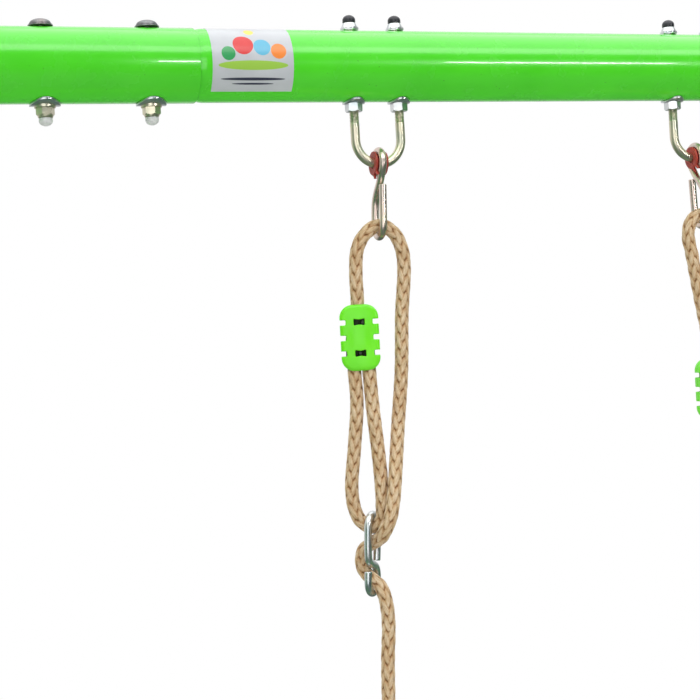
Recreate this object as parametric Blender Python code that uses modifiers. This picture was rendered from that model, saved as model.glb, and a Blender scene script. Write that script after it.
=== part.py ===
"""Free-standing tubular swing frame with one rope swing. Metres, +Z up, beam along X.

The origin is on the ground under the middle of the beam. The swing hangs from two U-bolts and turns about
the X axis through the lowest point of their wire. The frame is symmetric; the two ropes hang a little
differently, as they do on the real thing.
"""
import math

import bmesh
import bpy
from mathutils import Matrix, Vector

MM = 0.001
GAP = 0.3 * MM
THROUGH = 60 * MM
WELD = 0.001 * MM

# Frame
BEAM_HEIGHT = 1.80
BEAM_RADIUS = 30 * MM
BEAM_WALL = 1.5 * MM
STUB_RADIUS = 30.5 * MM
SEAM_X = 0.3125
SWAGE_LENGTH = 0.165
SHOULDER = 8 * MM
LEG_X = 0.72
STUB_END_X = 0.775
LEG_ANGLE = math.radians(19)
LEG_RADIUS = 24 * MM
LEG_WALL = 1.5 * MM
LEG_START = 0.10
SPIGOT_END = 0.22
SPIGOT_WALL = 2.5 * MM
SPIGOT_FLOOR = 36 * MM
LEG_BOLT_AT = 0.16
END_DOME = 8 * MM
BEAM_SEGMENTS = 24
FOOT_BASE_RADIUS = 46 * MM
FOOT_BASE_HEIGHT = 12 * MM
FOOT_SLEEVE_RADIUS = 29 * MM
FOOT_SLEEVE = 0.10
FOOT_SOLE = 35 * MM
BRACE_HEIGHT = 0.62
BRACE_RADIUS = 16 * MM
BRACE_PLATE = 6 * MM

# Fasteners
BOLT_RADIUS = 4 * MM
HOLE_RADIUS = BOLT_RADIUS + 0.4 * MM
NUT_RADIUS = 7.5 * MM
NUT_HEIGHT = 6.6 * MM
JOINT_NUT_HEIGHT = 9.2 * MM
WASHER_RADIUS = 9 * MM
WASHER_HEIGHT = 1.6 * MM
CAP_RADIUS = 5.5 * MM
CAP_HEIGHT = 6.4 * MM
HEAD_RADIUS = 9 * MM
HEAD_HEIGHT = 5 * MM
CAP_BORE = 4 * MM
SADDLE_SIZE = (9.2 * MM, 12.6 * MM)
JOINT_SADDLE_SIZE = (12.3 * MM, 14.9 * MM)
JOINT_BOLTS_X = (0.3487, 0.4340)

# Hangers
HANGER_X = 0.1545
LEG_PITCH = 41 * MM
U_RADIUS = LEG_PITCH / 2
U_CENTRE_DROP = 62.5 * MM
PIVOT_DROP = U_CENTRE_DROP + U_RADIUS
HANGER_TILT = math.radians(2.7)
ADJUSTER_DROP = 0.415
ADJUSTER_TILT = math.radians(3.2)
HOOK_WIRE = 3.25 * MM
BUSHING_HALF = 5.6 * MM
BUSHING_BORE = 5.2 * MM
BUSHING_GROOVE = 7.0 * MM
BUSHING_FLANGE = 10.2 * MM

# Ropes and seat
ROPE_RADIUS = 5.4 * MM
ROPE_BEND_SPAN = 19 * MM
ROPE_BEND_STEP = 6 * MM
ROPE_STRAIGHT_STEP = 26 * MM
ROPE_LONG_STEP = 100 * MM
KNOT_RADIUS = 15 * MM
CLAMP_WIDTH = 33 * MM
CLAMP_HEIGHT = 56 * MM
CLAMP_DEPTH = 17.6 * MM
NOTCH_PITCH = 13.2 * MM
NOTCH_HEIGHT = 4.4 * MM
NOTCH_DEPTH = 5 * MM
WINDOW_WIDTH = 8.5 * MM
WINDOW_HEIGHT = 5.5 * MM
SEAT_HALF_PITCH = 0.195
SEAT_TOP_DROP = 1.360
SEAT_THICKNESS = 22 * MM
SEAT_LENGTH = 0.44
SEAT_WIDTH = 0.17

# Rope routes, millimetres from the middle of the beam, from the end inside the clamp to the stopper knot
LEFT_ROUTE = [
    (-175.4, -2.0, -230), (-175.3, -2.2, -258), (-174.4, -3.3, -290), (-172.6, -6.2, -330),
    (-172.4, -8.8, -356), (-172.6, -8.9, -372), (-173.6, -7.2, -385.2), (-179.5, 0.0, -391.6),
    (-187.0, 5.9, -387.0), (-191.8, 8.0, -376), (-193.5, 8.0, -358), (-189.8, 5.2, -322),
    (-186.2, 3.0, -285), (-187.2, 2.1, -256), (-187.2, 2.1, -232), (-181.8, 0.4, -203),
    (-181.6, 0.0, -176), (-179.0, 0.0, -155), (-171.5, 0.0, -142.6), (-158.3, 0.0, -135.4),
    (-145.5, 0.0, -142.0), (-138.8, 0.0, -156), (-137.6, 0.0, -172), (-142.0, 0.0, -212),
    (-145.7, -1.0, -260), (-153.0, -4.2, -308), (-162.8, -16.8, -350), (-165.8, -18.8, -366),
    (-170.2, -19.8, -383.0), (-174.0, -15.8, -393.6), (-176.4, -8.8, -400.6), (-180.2, 0.0, -405.0),
    (-186.0, 6.0, -410.8), (-188.0, 8.2, -418.5), (-187.6, 6.8, -427), (-182.4, -0.2, -436.2),
    (-177.8, -4.4, -440.8), (-175.0, -7.2, -449.0), (-173.2, -7.6, -460), (-172.4, -6.6, -475),
    (-174.8, -5.8, -510), (-182.4, -2.0, -830), (-195.0, 0.0, -1330), (-195.0, 0.0, -1395)]
RIGHT_ROUTE = [
    (168.5, -1.0, -296), (168.6, -1.2, -324), (176.0, -2.6, -343), (184.3, -4.0, -363),
    (185.0, -4.0, -376), (183.5, -3.3, -388), (174.9, 0.0, -394.6), (165.5, 3.3, -388),
    (162.6, 4.0, -374), (160.6, 3.6, -356), (157.0, 1.8, -336), (156.3, 1.0, -316),
    (156.3, 1.0, -298), (161.0, 0.2, -267), (157.5, 0.0, -244), (151.5, 0.0, -208),
    (146.0, 0.0, -172), (143.2, 0.0, -153), (147.8, 0.0, -140.0), (158.3, 0.0, -135.0),
    (168.8, 0.0, -141.0), (174.4, 0.0, -155), (177.5, 0.0, -175), (183.0, 0.0, -225),
    (190.5, -1.0, -290), (195.8, -5.4, -340), (198.4, -8.4, -366), (197.6, -8.2, -380),
    (194.9, -7.4, -391.2), (185.9, -3.9, -402), (175.6, 0.0, -407), (167.2, 3.1, -414),
    (166.2, 3.8, -425), (177.2, 0.0, -436.1), (186.4, -3.4, -441), (190.0, -4.6, -455),
    (189.4, -3.4, -510), (191.0, -1.5, -830), (195.0, 0.0, -1330), (195.0, 0.0, -1395)]

# Per side: sign along X, rope route, clamp centre, clamp turn, where the adjuster is along X, its turn
SIDES = {
    "left": (-1, LEFT_ROUTE, (-181.2, 0.0, -230), math.radians(-19), -180.9, math.radians(-42)),
    "right": (1, RIGHT_ROUTE, (162.5, 0.0, -296), math.radians(-10), 176.0, math.radians(-20)),
}

# Wire shapes, millimetres: straight runs and arcs given as (centre across, centre height, radius, from, to)
HOOK_SHAPE = [(0, -82.95, 11, -48, 215), (-2.2, -99.5), (4.0, -106.5), (8.6, -114), (10, -123),
              (0, -135.3, 10, 0, -180), (-10, -118), (-9.6, -101.5)]
ADJUSTER_SHAPE = [(9.0, -421), (9.8, -410), (0, -390.55, 9.8, 0, 180), (-9.8, -413), (-8.6, -418.5),
                  (-4.4, -422.0), (1.5, -423.6), (6.8, -426.2), (9.6, -432.0),
                  (0, -437.6, 9.8, 0, -180), (-9.6, -428.2)]

COLOURS = {
    "green_coat": ((0.16, 0.75, 0.05, 1), 0.22, 0.0),
    "zinc": ((0.62, 0.62, 0.60, 1), 0.28, 1.0),
    "yellow_zinc": ((0.72, 0.64, 0.42, 1), 0.25, 1.0),
    "pink_zinc": ((0.68, 0.60, 0.54, 1), 0.22, 1.0),
    "black_plastic": ((0.02, 0.02, 0.025, 1), 0.45, 0.0),
    "white_plastic": ((0.85, 0.86, 0.85, 1), 0.40, 0.0),
    "red_plastic": ((0.28, 0.06, 0.04, 1), 0.45, 0.0),
    "green_plastic": ((0.16, 0.90, 0.03, 1), 0.35, 0.0),
    "rope": ((0.58, 0.42, 0.25, 1), 0.85, 0.0),
    "foot_rubber": ((0.03, 0.03, 0.03, 1), 0.70, 0.0),
}


def clear_scene():
    for obj in list(bpy.data.objects):
        bpy.data.objects.remove(obj, do_unlink=True)


def make_collection(name):
    group = bpy.data.collections.new(name)
    bpy.context.scene.collection.children.link(group)
    return group


def make_material(name, finish):
    colour, roughness, metallic = COLOURS[finish]
    material = bpy.data.materials.new(name)
    material.use_nodes = True
    shader = material.node_tree.nodes["Principled BSDF"]
    shader.inputs["Base Color"].default_value = colour
    shader.inputs["Roughness"].default_value = roughness
    shader.inputs["Metallic"].default_value = metallic
    return material


def node(name, mesh, finish, mirrored=False):
    """One sub-part, from a mesh in world space; mirrored puts it on the other side of the YZ plane."""
    mesh = mesh.copy()
    if mirrored:
        mesh.transform(Matrix.Diagonal((-1, 1, 1, 1)))
        mesh.flip_normals()
    mesh.materials.clear()
    mesh.materials.append(make_material(name, finish))
    mesh.shade_smooth()
    mesh.set_sharp_from_angle(angle=math.radians(35))
    obj = bpy.data.objects.new(name, mesh)
    parts.objects.link(obj)
    return obj


def hang_from(obj, empty):
    """Parents a moving piece to the swing's pivot, which lies on the joint's axis."""
    obj.data.transform(empty.matrix_world.inverted())
    obj.parent = empty
    return obj


def helper_object(data):
    """A guide, a cutter or a piece of a union: never a sub-part."""
    obj = bpy.data.objects.new("shape", data)
    cutters.objects.link(obj)
    obj.hide_render = True
    obj.display_type = "WIRE"
    return obj


def bake(obj, place=None):
    """The object's evaluated mesh, welded and put in its place; the object itself is removed."""
    bpy.context.view_layer.update()
    evaluated = obj.evaluated_get(bpy.context.evaluated_depsgraph_get())
    mesh = bpy.data.meshes.new_from_object(evaluated)
    bm = bmesh.new()
    bm.from_mesh(mesh)
    if place is not None:
        bmesh.ops.transform(bm, matrix=place, verts=bm.verts)
    bmesh.ops.remove_doubles(bm, verts=bm.verts, dist=WELD)
    bm.to_mesh(mesh)
    bm.free()
    bpy.data.objects.remove(obj, do_unlink=True)
    return mesh


def combine(body, operation, others):
    """Joins the other meshes to the body, or cuts them from it, one after the other."""
    for other in others:
        base = helper_object(body)
        helper = helper_object(other)
        modifier = base.modifiers.new("combine", "BOOLEAN")
        modifier.operation = operation
        modifier.object = helper
        modifier.solver = "EXACT"
        body = bake(base)
        bpy.data.objects.remove(helper, do_unlink=True)
    return body


def join(body, *others):
    return combine(body, "UNION", others)


def cut(body, *others):
    return combine(body, "DIFFERENCE", others)


def turned(profile, segments=12, place=None, closed=False):
    """Points (radius, height), top to bottom on the outer side, turned about Z."""
    points = [(radius, 0, height) for radius, height in profile]
    edges = [(i, i + 1) for i in range(len(points) - 1)]
    if closed:
        edges.append((len(points) - 1, 0))
    mesh = bpy.data.meshes.new("profile")
    mesh.from_pydata(points, edges, [])
    obj = helper_object(mesh)
    screw = obj.modifiers.new("turn", "SCREW")
    screw.steps = segments
    screw.render_steps = segments
    screw.use_merge_vertices = True
    screw.merge_threshold = WELD
    return bake(obj, place)


def rod(radius, low, high, segments=12, place=None):
    return turned([(0, high), (radius, high), (radius, low), (0, low)], segments, place)


def dome(radius, height, base=0.0, count=3):
    """A quarter ellipse from the pole down to the rim."""
    turns = [i * math.pi / 2 / count for i in range(count + 1)]
    return [(radius * math.sin(turn), base + height * math.cos(turn)) for turn in turns]


def block(size, centre, place=None):
    bm = bmesh.new()
    bmesh.ops.create_cube(bm, size=1.0)
    bmesh.ops.transform(bm, matrix=Matrix.Translation(centre) @ Matrix.Diagonal((*size, 1)), verts=bm.verts)
    if place is not None:
        bmesh.ops.transform(bm, matrix=place, verts=bm.verts)
    return finished(bm)


def finished(bm):
    bmesh.ops.recalc_face_normals(bm, faces=bm.faces)
    mesh = bpy.data.meshes.new("shape")
    bm.to_mesh(mesh)
    bm.free()
    return mesh


def slab(length, width, thickness, corner, edge, corner_steps, edge_steps):
    """A flat plate in the XY plane with round corners and softened edges."""
    bm = bmesh.new()
    bmesh.ops.create_cube(bm, size=1.0)
    bmesh.ops.scale(bm, vec=(length, width, thickness), verts=bm.verts)
    upright = [e for e in bm.edges if abs((e.verts[0].co - e.verts[1].co).z) > thickness / 2]
    bmesh.ops.bevel(bm, geom=upright, offset=corner, segments=corner_steps, profile=0.5, affect="EDGES")
    rims = [e for e in bm.edges if abs((e.verts[0].co - e.verts[1].co).z) < thickness / 2]
    bmesh.ops.bevel(bm, geom=rims, offset=edge, segments=edge_steps, profile=0.5, affect="EDGES")
    return finished(bm)


def hexagon(radius, low, high):
    bm = bmesh.new()
    bmesh.ops.create_cone(bm, cap_ends=True, segments=6, radius1=radius, radius2=radius,
                          depth=high - low, matrix=Matrix.Translation((0, 0, (low + high) / 2)))
    return finished(bm)


def wire(points, radius, resolution=2):
    """A round wire or rope along the points, with closed ends."""
    curve = bpy.data.curves.new("wire", "CURVE")
    curve.dimensions = "3D"
    curve.bevel_depth = radius
    curve.bevel_resolution = resolution
    curve.use_fill_caps = True
    spline = curve.splines.new("POLY")
    spline.points.add(len(points) - 1)
    for target, point in zip(spline.points, points):
        target.co = (*point, 1)
    return bake(helper_object(curve))


def arc(across, height, radius, start, end, step=20):
    """Points of an arc, with its angles in degrees from the across axis."""
    count = max(2, round(abs(end - start) / step))
    angles = [math.radians(start + (end - start) * i / count) for i in range(count + 1)]
    return [(across + radius * math.cos(a), height + radius * math.sin(a)) for a in angles]


def bent_wire(shape, radius, place):
    """A wire bent in its own YZ plane. Two numbers are a point, five are an arc, in millimetres."""
    path = []
    for item in shape:
        path += arc(*item) if len(item) == 5 else [item]
    return wire([place @ Vector((0, across * MM, height * MM)) for across, height in path], radius)


def mix(a, b, low, high, t):
    share = (t - low) / (high - low)
    return a * (1 - share) + b * share


def span_step(length):
    """Where a route bends, its points stand close, and so do the samples between them."""
    if length < ROPE_BEND_SPAN:
        return ROPE_BEND_STEP
    return ROPE_STRAIGHT_STEP if length < ROPE_LONG_STEP else ROPE_LONG_STEP


def smooth_curve(points):
    """A centripetal curve through the points."""
    ends = [points[0] * 2 - points[1]] + points + [points[-1] * 2 - points[-2]]
    result = [points[0]]
    for corners in zip(ends, ends[1:], ends[2:], ends[3:]):
        knots = [0.0]
        for a, b in zip(corners, corners[1:]):
            knots.append(knots[-1] + math.sqrt((b - a).length))
        length = (corners[2] - corners[1]).length
        count = max(1, round(length / span_step(length)))
        for i in range(1, count + 1):
            t = knots[1] + (knots[2] - knots[1]) * i / count
            first = [mix(corners[k], corners[k + 1], knots[k], knots[k + 1], t) for k in range(3)]
            second = [mix(first[k], first[k + 1], knots[k], knots[k + 2], t) for k in range(2)]
            result.append(mix(second[0], second[1], knots[1], knots[2], t))
    return result


def at_beam(x=0.0, y=0.0):
    """Upright, with its origin on the height of the beam's axis."""
    return Matrix.Translation((x, y, BEAM_HEIGHT))


def along_x(x=0.0, y=0.0, z=BEAM_HEIGHT):
    """Local +Z turned to point along +X."""
    return Matrix.Translation((x, y, z)) @ Matrix.Rotation(math.radians(90), 4, "Y")


def along_leg(side):
    """Local Z along a right-hand leg, from the beam's axis; side is +1 behind, -1 in front."""
    return at_beam(LEG_X) @ Matrix.Rotation(side * LEG_ANGLE, 4, "X")


def across_leg(side, distance):
    """Local Z along X, at a distance down a right-hand leg."""
    down = along_leg(side) @ Vector((0, 0, -distance))
    return along_x(*down)


def leaning(x, drop, tilt):
    """Upright at the beam, turned about the Y axis through a point below it."""
    below = Matrix.Translation((0, 0, -drop))
    return at_beam(x) @ below @ Matrix.Rotation(tilt, 4, "Y") @ below.inverted()


def hanger_frame(sign):
    """Leaning outward about the centre of the U-bolt's bend."""
    return leaning(sign * HANGER_X, U_CENTRE_DROP, -sign * HANGER_TILT)


def upright_holes(places):
    return [rod(HOLE_RADIUS, -THROUGH, THROUGH, 12, at_beam(x)) for x in places]


def make_beam():
    swage = STUB_RADIUS - BEAM_WALL - GAP
    end = SEAM_X + SWAGE_LENGTH
    straight = SEAM_X - SHOULDER
    outer = [(swage, end), (swage, SEAM_X)]
    for i in range(1, 5):
        lift = math.sin(i / 4 * math.pi / 2)
        outer.append((swage + (BEAM_RADIUS - swage) * lift, SEAM_X - SHOULDER * i / 4))
    outer += [(radius, -height) for radius, height in reversed(outer)]
    inner = [(swage - BEAM_WALL, end), (swage - BEAM_WALL, SEAM_X), (BEAM_RADIUS - BEAM_WALL, straight)]
    inner = [(radius, -height) for radius, height in inner] + list(reversed(inner))
    tube = turned(outer + inner, BEAM_SEGMENTS, along_x(), closed=True)
    bolts = [sign * x for x in JOINT_BOLTS_X for sign in (-1, 1)]
    legs = [sign * HANGER_X + half * U_RADIUS for sign in (-1, 1) for half in (-1, 1)]
    node("beam", cut(tube, *upright_holes(bolts + legs)), "green_coat")


def make_heads():
    """The end fittings: a stub tube with a domed end and two welded spigots for the legs."""
    stub = dome(STUB_RADIUS, END_DOME, STUB_END_X - END_DOME)
    stub += [(STUB_RADIUS, SEAM_X + GAP), (STUB_RADIUS - GAP, SEAM_X), (0, SEAM_X)]
    spigot = LEG_RADIUS - LEG_WALL - GAP
    head = turned(stub, BEAM_SEGMENTS, along_x())
    head = join(head, *[rod(spigot, -SPIGOT_END, 0, 16, along_leg(side)) for side in (-1, 1)])
    inside = STUB_RADIUS - BEAM_WALL
    cutters_here = [rod(inside, SEAM_X - 0.01, STUB_END_X - END_DOME, BEAM_SEGMENTS, along_x())]
    for side in (-1, 1):
        cutters_here.append(rod(spigot - SPIGOT_WALL, -SPIGOT_END - 0.01, -SPIGOT_FLOOR, 16, along_leg(side)))
        cutters_here.append(rod(HOLE_RADIUS, -THROUGH, THROUGH, 12, across_leg(side, LEG_BOLT_AT)))
    head = cut(head, *cutters_here, *upright_holes(JOINT_BOLTS_X))
    node("right_head", head, "green_coat")
    node("left_head", head, "green_coat", mirrored=True)


def make_legs():
    ground = BEAM_HEIGHT / math.cos(LEG_ANGLE)
    brace_at = (BEAM_HEIGHT - BRACE_HEIGHT) / math.cos(LEG_ANGLE)
    for place, side in (("front", -1), ("rear", 1)):
        frame = along_leg(side)
        low = -(ground - FOOT_SOLE)
        leg = [(LEG_RADIUS, -LEG_START), (LEG_RADIUS, low)]
        leg += [(LEG_RADIUS - LEG_WALL, low), (LEG_RADIUS - LEG_WALL, -LEG_START)]
        leg = turned(leg, 16, frame, closed=True)
        leg = cut(leg, *[rod(HOLE_RADIUS, -THROUGH, THROUGH, 12, across_leg(side, distance))
                         for distance in (LEG_BOLT_AT, brace_at)])
        base = [(FOOT_BASE_RADIUS - 4 * MM, FOOT_BASE_HEIGHT), (FOOT_BASE_RADIUS, FOOT_BASE_HEIGHT - 4 * MM)]
        base = [(0, FOOT_BASE_HEIGHT)] + base + [(FOOT_BASE_RADIUS, 0), (0, 0)]
        spread = BEAM_HEIGHT * math.tan(LEG_ANGLE) * side
        foot = turned(base, 20, Matrix.Translation((LEG_X, spread, 0)))
        foot = join(foot, rod(FOOT_SLEEVE_RADIUS, -ground - 0.02, -(ground - FOOT_SLEEVE), 16, frame))
        foot = cut(foot, block((5 * THROUGH, 5 * THROUGH, THROUGH), (LEG_X, spread, -THROUGH / 2)),
                   rod(LEG_RADIUS + GAP, low - GAP, FOOT_SLEEVE - ground, 16, frame))
        for hand, mirrored in (("right", False), ("left", True)):
            node(f"{hand}_{place}_leg", leg, "green_coat", mirrored)
            node(f"{hand}_{place}_foot", foot, "foot_rubber", mirrored)


def make_braces():
    """A tube between the legs, flattened at both ends and bolted to their inner sides."""
    height = BRACE_HEIGHT
    reach = (BEAM_HEIGHT - height) * math.tan(LEG_ANGLE)
    plate_x = LEG_X - LEG_RADIUS - GAP - BRACE_PLATE / 2
    tube = (reach - 85 * MM, BRACE_RADIUS, BRACE_RADIUS, 1.0)
    plate = (reach - 38 * MM, BRACE_PLATE / 2, 22 * MM, 0.25)
    end = (reach + 22 * MM, BRACE_PLATE / 2, 20 * MM, 0.25)
    sections = [(-y, *rest) for y, *rest in (end, plate, tube)] + [tube, plate, end]
    bm = bmesh.new()
    rings = []
    for y, half_x, half_z, power in sections:
        ring = []
        for i in range(16):
            turn = math.tau * i / 16
            c, s = math.cos(turn), math.sin(turn)
            x = math.copysign(abs(c) ** power, c) * half_x
            z = math.copysign(abs(s) ** power, s) * half_z
            ring.append(bm.verts.new((plate_x + x, y, height + z)))
        rings.append(ring)
    for low, high in zip(rings, rings[1:]):
        for i in range(16):
            bm.faces.new((low[i], low[i - 1], high[i - 1], high[i]))
    bm.faces.new(rings[0])
    bm.faces.new(rings[-1])
    brace = finished(bm)
    brace = cut(brace, *[rod(HOLE_RADIUS, -THROUGH, THROUGH, 12, along_x(plate_x, side * reach, height))
                         for side in (-1, 1)])
    node("right_brace", brace, "green_coat")
    node("left_brace", brace, "green_coat", mirrored=True)


def through_bolt(top, bottom, place):
    """A round-headed bolt with its washers and nut, from seat to seat, as one piece."""
    profile = dome(HEAD_RADIUS - MM, HEAD_HEIGHT, top + MM)
    profile += [(HEAD_RADIUS, top + MM), (HEAD_RADIUS, top), (BOLT_RADIUS, top)]
    profile += [(BOLT_RADIUS, bottom - 12 * MM), (0, bottom - 12 * MM)]
    bolt = turned(profile)
    washer = rod(WASHER_RADIUS, bottom - WASHER_HEIGHT, bottom)
    nut = hexagon(NUT_RADIUS, bottom - WASHER_HEIGHT - NUT_HEIGHT, bottom - WASHER_HEIGHT / 2)
    bolt = join(bolt, washer, nut)
    bolt.transform(place)
    return bolt


def make_frame_bolts():
    brace_at = (BEAM_HEIGHT - BRACE_HEIGHT) / math.cos(LEG_ANGLE)
    outside = LEG_RADIUS + GAP
    inside = -(LEG_RADIUS + GAP * 2 + BRACE_PLATE)
    for place, side in (("front", -1), ("rear", 1)):
        leg_bolt = through_bolt(outside, -outside, across_leg(side, LEG_BOLT_AT))
        brace_bolt = through_bolt(outside, inside, across_leg(side, brace_at))
        for hand, mirrored in (("right", False), ("left", True)):
            node(f"{hand}_{place}_leg_bolt", leg_bolt, "zinc", mirrored)
            node(f"{hand}_{place}_brace_bolt", brace_bolt, "zinc", mirrored)


def saddle_nut(tube_radius, washer_size, height, flange_radius):
    """A hexagon nut under the beam, with an oval washer curved to fit the tube, as one piece."""
    inner = tube_radius + GAP
    outer = inner + WASHER_HEIGHT
    low = -(outer + height)
    oval = Matrix.Diagonal((*washer_size, 1, 1))
    washer = rod(1, -outer - MM, -tube_radius * 0.7, 16, oval)
    washer = combine(washer, "INTERSECT", [rod(outer, -THROUGH, THROUGH, BEAM_SEGMENTS, along_x(z=0))])
    nut = join(washer, hexagon(NUT_RADIUS, low, -inner - MM))
    if flange_radius:
        nut = join(nut, rod(flange_radius, -outer - 1.5 * MM, -outer + MM))
    tube = rod(inner, -THROUGH, THROUGH, BEAM_SEGMENTS, along_x(z=0))
    return cut(nut, tube, rod(HOLE_RADIUS, -THROUGH, 0, 12))


def cap(base):
    """A push-on dome that covers the end of a thread, standing on a height."""
    profile = dome(CAP_RADIUS, CAP_HEIGHT - 2 * MM, base + 2 * MM)
    profile += [(CAP_RADIUS, base), (BOLT_RADIUS + GAP, base)]
    profile += [(BOLT_RADIUS + GAP, base + CAP_BORE), (0, base + CAP_BORE)]
    return turned(profile)


def placed(mesh, place):
    mesh = mesh.copy()
    mesh.transform(place)
    return mesh


def make_joint_bolts():
    """Upright through-bolts that lock each swaged beam end in its stub."""
    seat = STUB_RADIUS + GAP
    washer = WASHER_RADIUS + MM
    foot = seat + WASHER_HEIGHT + JOINT_NUT_HEIGHT
    profile = dome(HEAD_RADIUS, HEAD_HEIGHT, seat + 1.2 * MM)
    profile += [(washer, seat + 1.2 * MM), (washer, seat), (BOLT_RADIUS, seat)]
    profile += [(BOLT_RADIUS, -foot - 3.5 * MM), (0, -foot - 3.5 * MM)]
    bolt = turned(profile, 14)
    nut = saddle_nut(STUB_RADIUS, JOINT_SADDLE_SIZE, JOINT_NUT_HEIGHT, WASHER_RADIUS - MM / 2)
    white_cap = placed(cap(foot + GAP), Matrix.Rotation(math.pi, 4, "X"))
    for hand, sign in (("left", -1), ("right", 1)):
        for place, x in zip(("inner", "outer"), JOINT_BOLTS_X):
            spot = at_beam(sign * x)
            node(f"{hand}_{place}_joint_bolt", placed(bolt, spot), "zinc")
            node(f"{hand}_{place}_joint_nut", placed(nut, spot), "yellow_zinc")
            node(f"{hand}_{place}_joint_cap", placed(white_cap, spot), "white_plastic")


def make_u_bolts():
    top = BEAM_RADIUS + GAP
    end = top + NUT_HEIGHT + 3.5 * MM
    bend = [(-U_RADIUS / MM, end / MM), (0, -U_CENTRE_DROP / MM, U_RADIUS / MM, 180, 360, 15),
            (U_RADIUS / MM, end / MM)]
    path = [bend[0]] + arc(*bend[1]) + [bend[2]]
    nut = cut(hexagon(NUT_RADIUS, top, top + NUT_HEIGHT), rod(HOLE_RADIUS, 0, THROUGH, 12))
    lower_nut = saddle_nut(BEAM_RADIUS, SADDLE_SIZE, NUT_HEIGHT, 0)
    black_cap = cap(top + NUT_HEIGHT + GAP)
    for hand, sign in (("left", -1), ("right", 1)):
        spot = at_beam(sign * HANGER_X)
        points = [spot @ Vector((across * MM, 0, height * MM)) for across, height in path]
        node(f"{hand}_u_bolt", wire(points, BOLT_RADIUS), "yellow_zinc")
        for place, half in (("outer", sign), ("inner", -sign)):
            leg = at_beam(sign * HANGER_X + half * U_RADIUS)
            node(f"{hand}_{place}_top_nut", placed(nut, leg), "zinc")
            node(f"{hand}_{place}_top_cap", placed(black_cap, leg), "black_plastic")
            node(f"{hand}_{place}_lower_nut", placed(lower_nut, leg), "zinc")


def bushing_profile():
    half, flange = BUSHING_HALF, BUSHING_FLANGE
    rim = [(flange - 0.4 * MM, half), (flange, half - 0.4 * MM), (flange, half - 1.1 * MM),
           (BUSHING_GROOVE, half - 1.4 * MM)]
    rim += [(radius, -height) for radius, height in reversed(rim)]
    return rim + [(BUSHING_BORE, -half), (BUSHING_BORE, half)]


def rope_points(route):
    return smooth_curve([Vector(point) * MM + Vector((0, 0, BEAM_HEIGHT)) for point in route])


def make_rope(hand, points, pivot):
    knot = points[-1] - Vector((0, 0, 3 * MM))
    bm = bmesh.new()
    bmesh.ops.create_uvsphere(bm, u_segments=12, v_segments=8, radius=KNOT_RADIUS,
                              matrix=Matrix.Translation(knot))
    rope = join(wire(points, ROPE_RADIUS), finished(bm))
    hang_from(node(f"{hand}_rope", rope, "rope"), pivot)


def make_clamp(hand, points, centre, turn, pivot):
    """Two half shells that hold the rope's end beside its running part."""
    middle = Vector(centre) * MM + Vector((0, 0, BEAM_HEIGHT))
    place = Matrix.Translation(middle) @ Matrix.Rotation(turn, 4, "Z")
    runs = []
    for i, point in enumerate(points):
        if abs(point.z - middle.z) < 0.8 * CLAMP_HEIGHT and abs(point.x - middle.x) < 0.6 * CLAMP_WIDTH:
            if not runs or i != runs[-1][-1] + 1:
                runs.append([])
            runs[-1].append(i)
    channels = [points[max(run[0] - 1, 0):run[-1] + 2] for run in runs]
    channels[0].insert(0, points[0] + (points[0] - points[1]).normalized() * MM)
    channels = [wire(channel, ROPE_RADIUS + 2 * GAP, 4) for channel in channels]
    channels.append(block((12 * MM, 6 * MM, CLAMP_HEIGHT / 2), (0, 0, -CLAMP_HEIGHT / 4), place))
    upright = Matrix.Rotation(math.radians(90), 4, "X")
    shell = slab(CLAMP_WIDTH, CLAMP_HEIGHT, CLAMP_DEPTH, 11 * MM, 2.5 * MM, 3, 1)
    shell.transform(place @ upright)
    notches = [block((2 * NOTCH_DEPTH, THROUGH, NOTCH_HEIGHT), (side * CLAMP_WIDTH / 2, 0, level), place)
               for side in (-1, 1) for level in (-NOTCH_PITCH, 0, NOTCH_PITCH)]
    windows = [block((WINDOW_WIDTH, CLAMP_DEPTH, WINDOW_HEIGHT), (0, -CLAMP_DEPTH / 2, level), place)
               for level in (-NOTCH_PITCH, NOTCH_PITCH)]
    for part, side, extra in (("front", -1, windows), ("back", 1, [])):
        keep = block((2 * THROUGH,) * 3, (0, side * (THROUGH + GAP / 2), 0), place)
        half = combine(shell.copy(), "INTERSECT", [keep])
        half = cut(half, *notches, *channels, *extra)
        hang_from(node(f"{hand}_clamp_{part}", half, "green_plastic"), pivot)


def make_seat(pivot):
    seat = slab(SEAT_LENGTH, SEAT_WIDTH, SEAT_THICKNESS, 40 * MM, 4 * MM, 5, 2)
    seat.transform(Matrix.Translation((0, 0, BEAM_HEIGHT - SEAT_TOP_DROP - SEAT_THICKNESS / 2)))
    seat = cut(seat, *[rod(ROPE_RADIUS + 1.3 * MM, 0, 1, 14, Matrix.Translation((x, 0, 0)))
                       for x in (-SEAT_HALF_PITCH, SEAT_HALF_PITCH)])
    hang_from(node("seat", seat, "green_plastic"), pivot)


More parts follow.
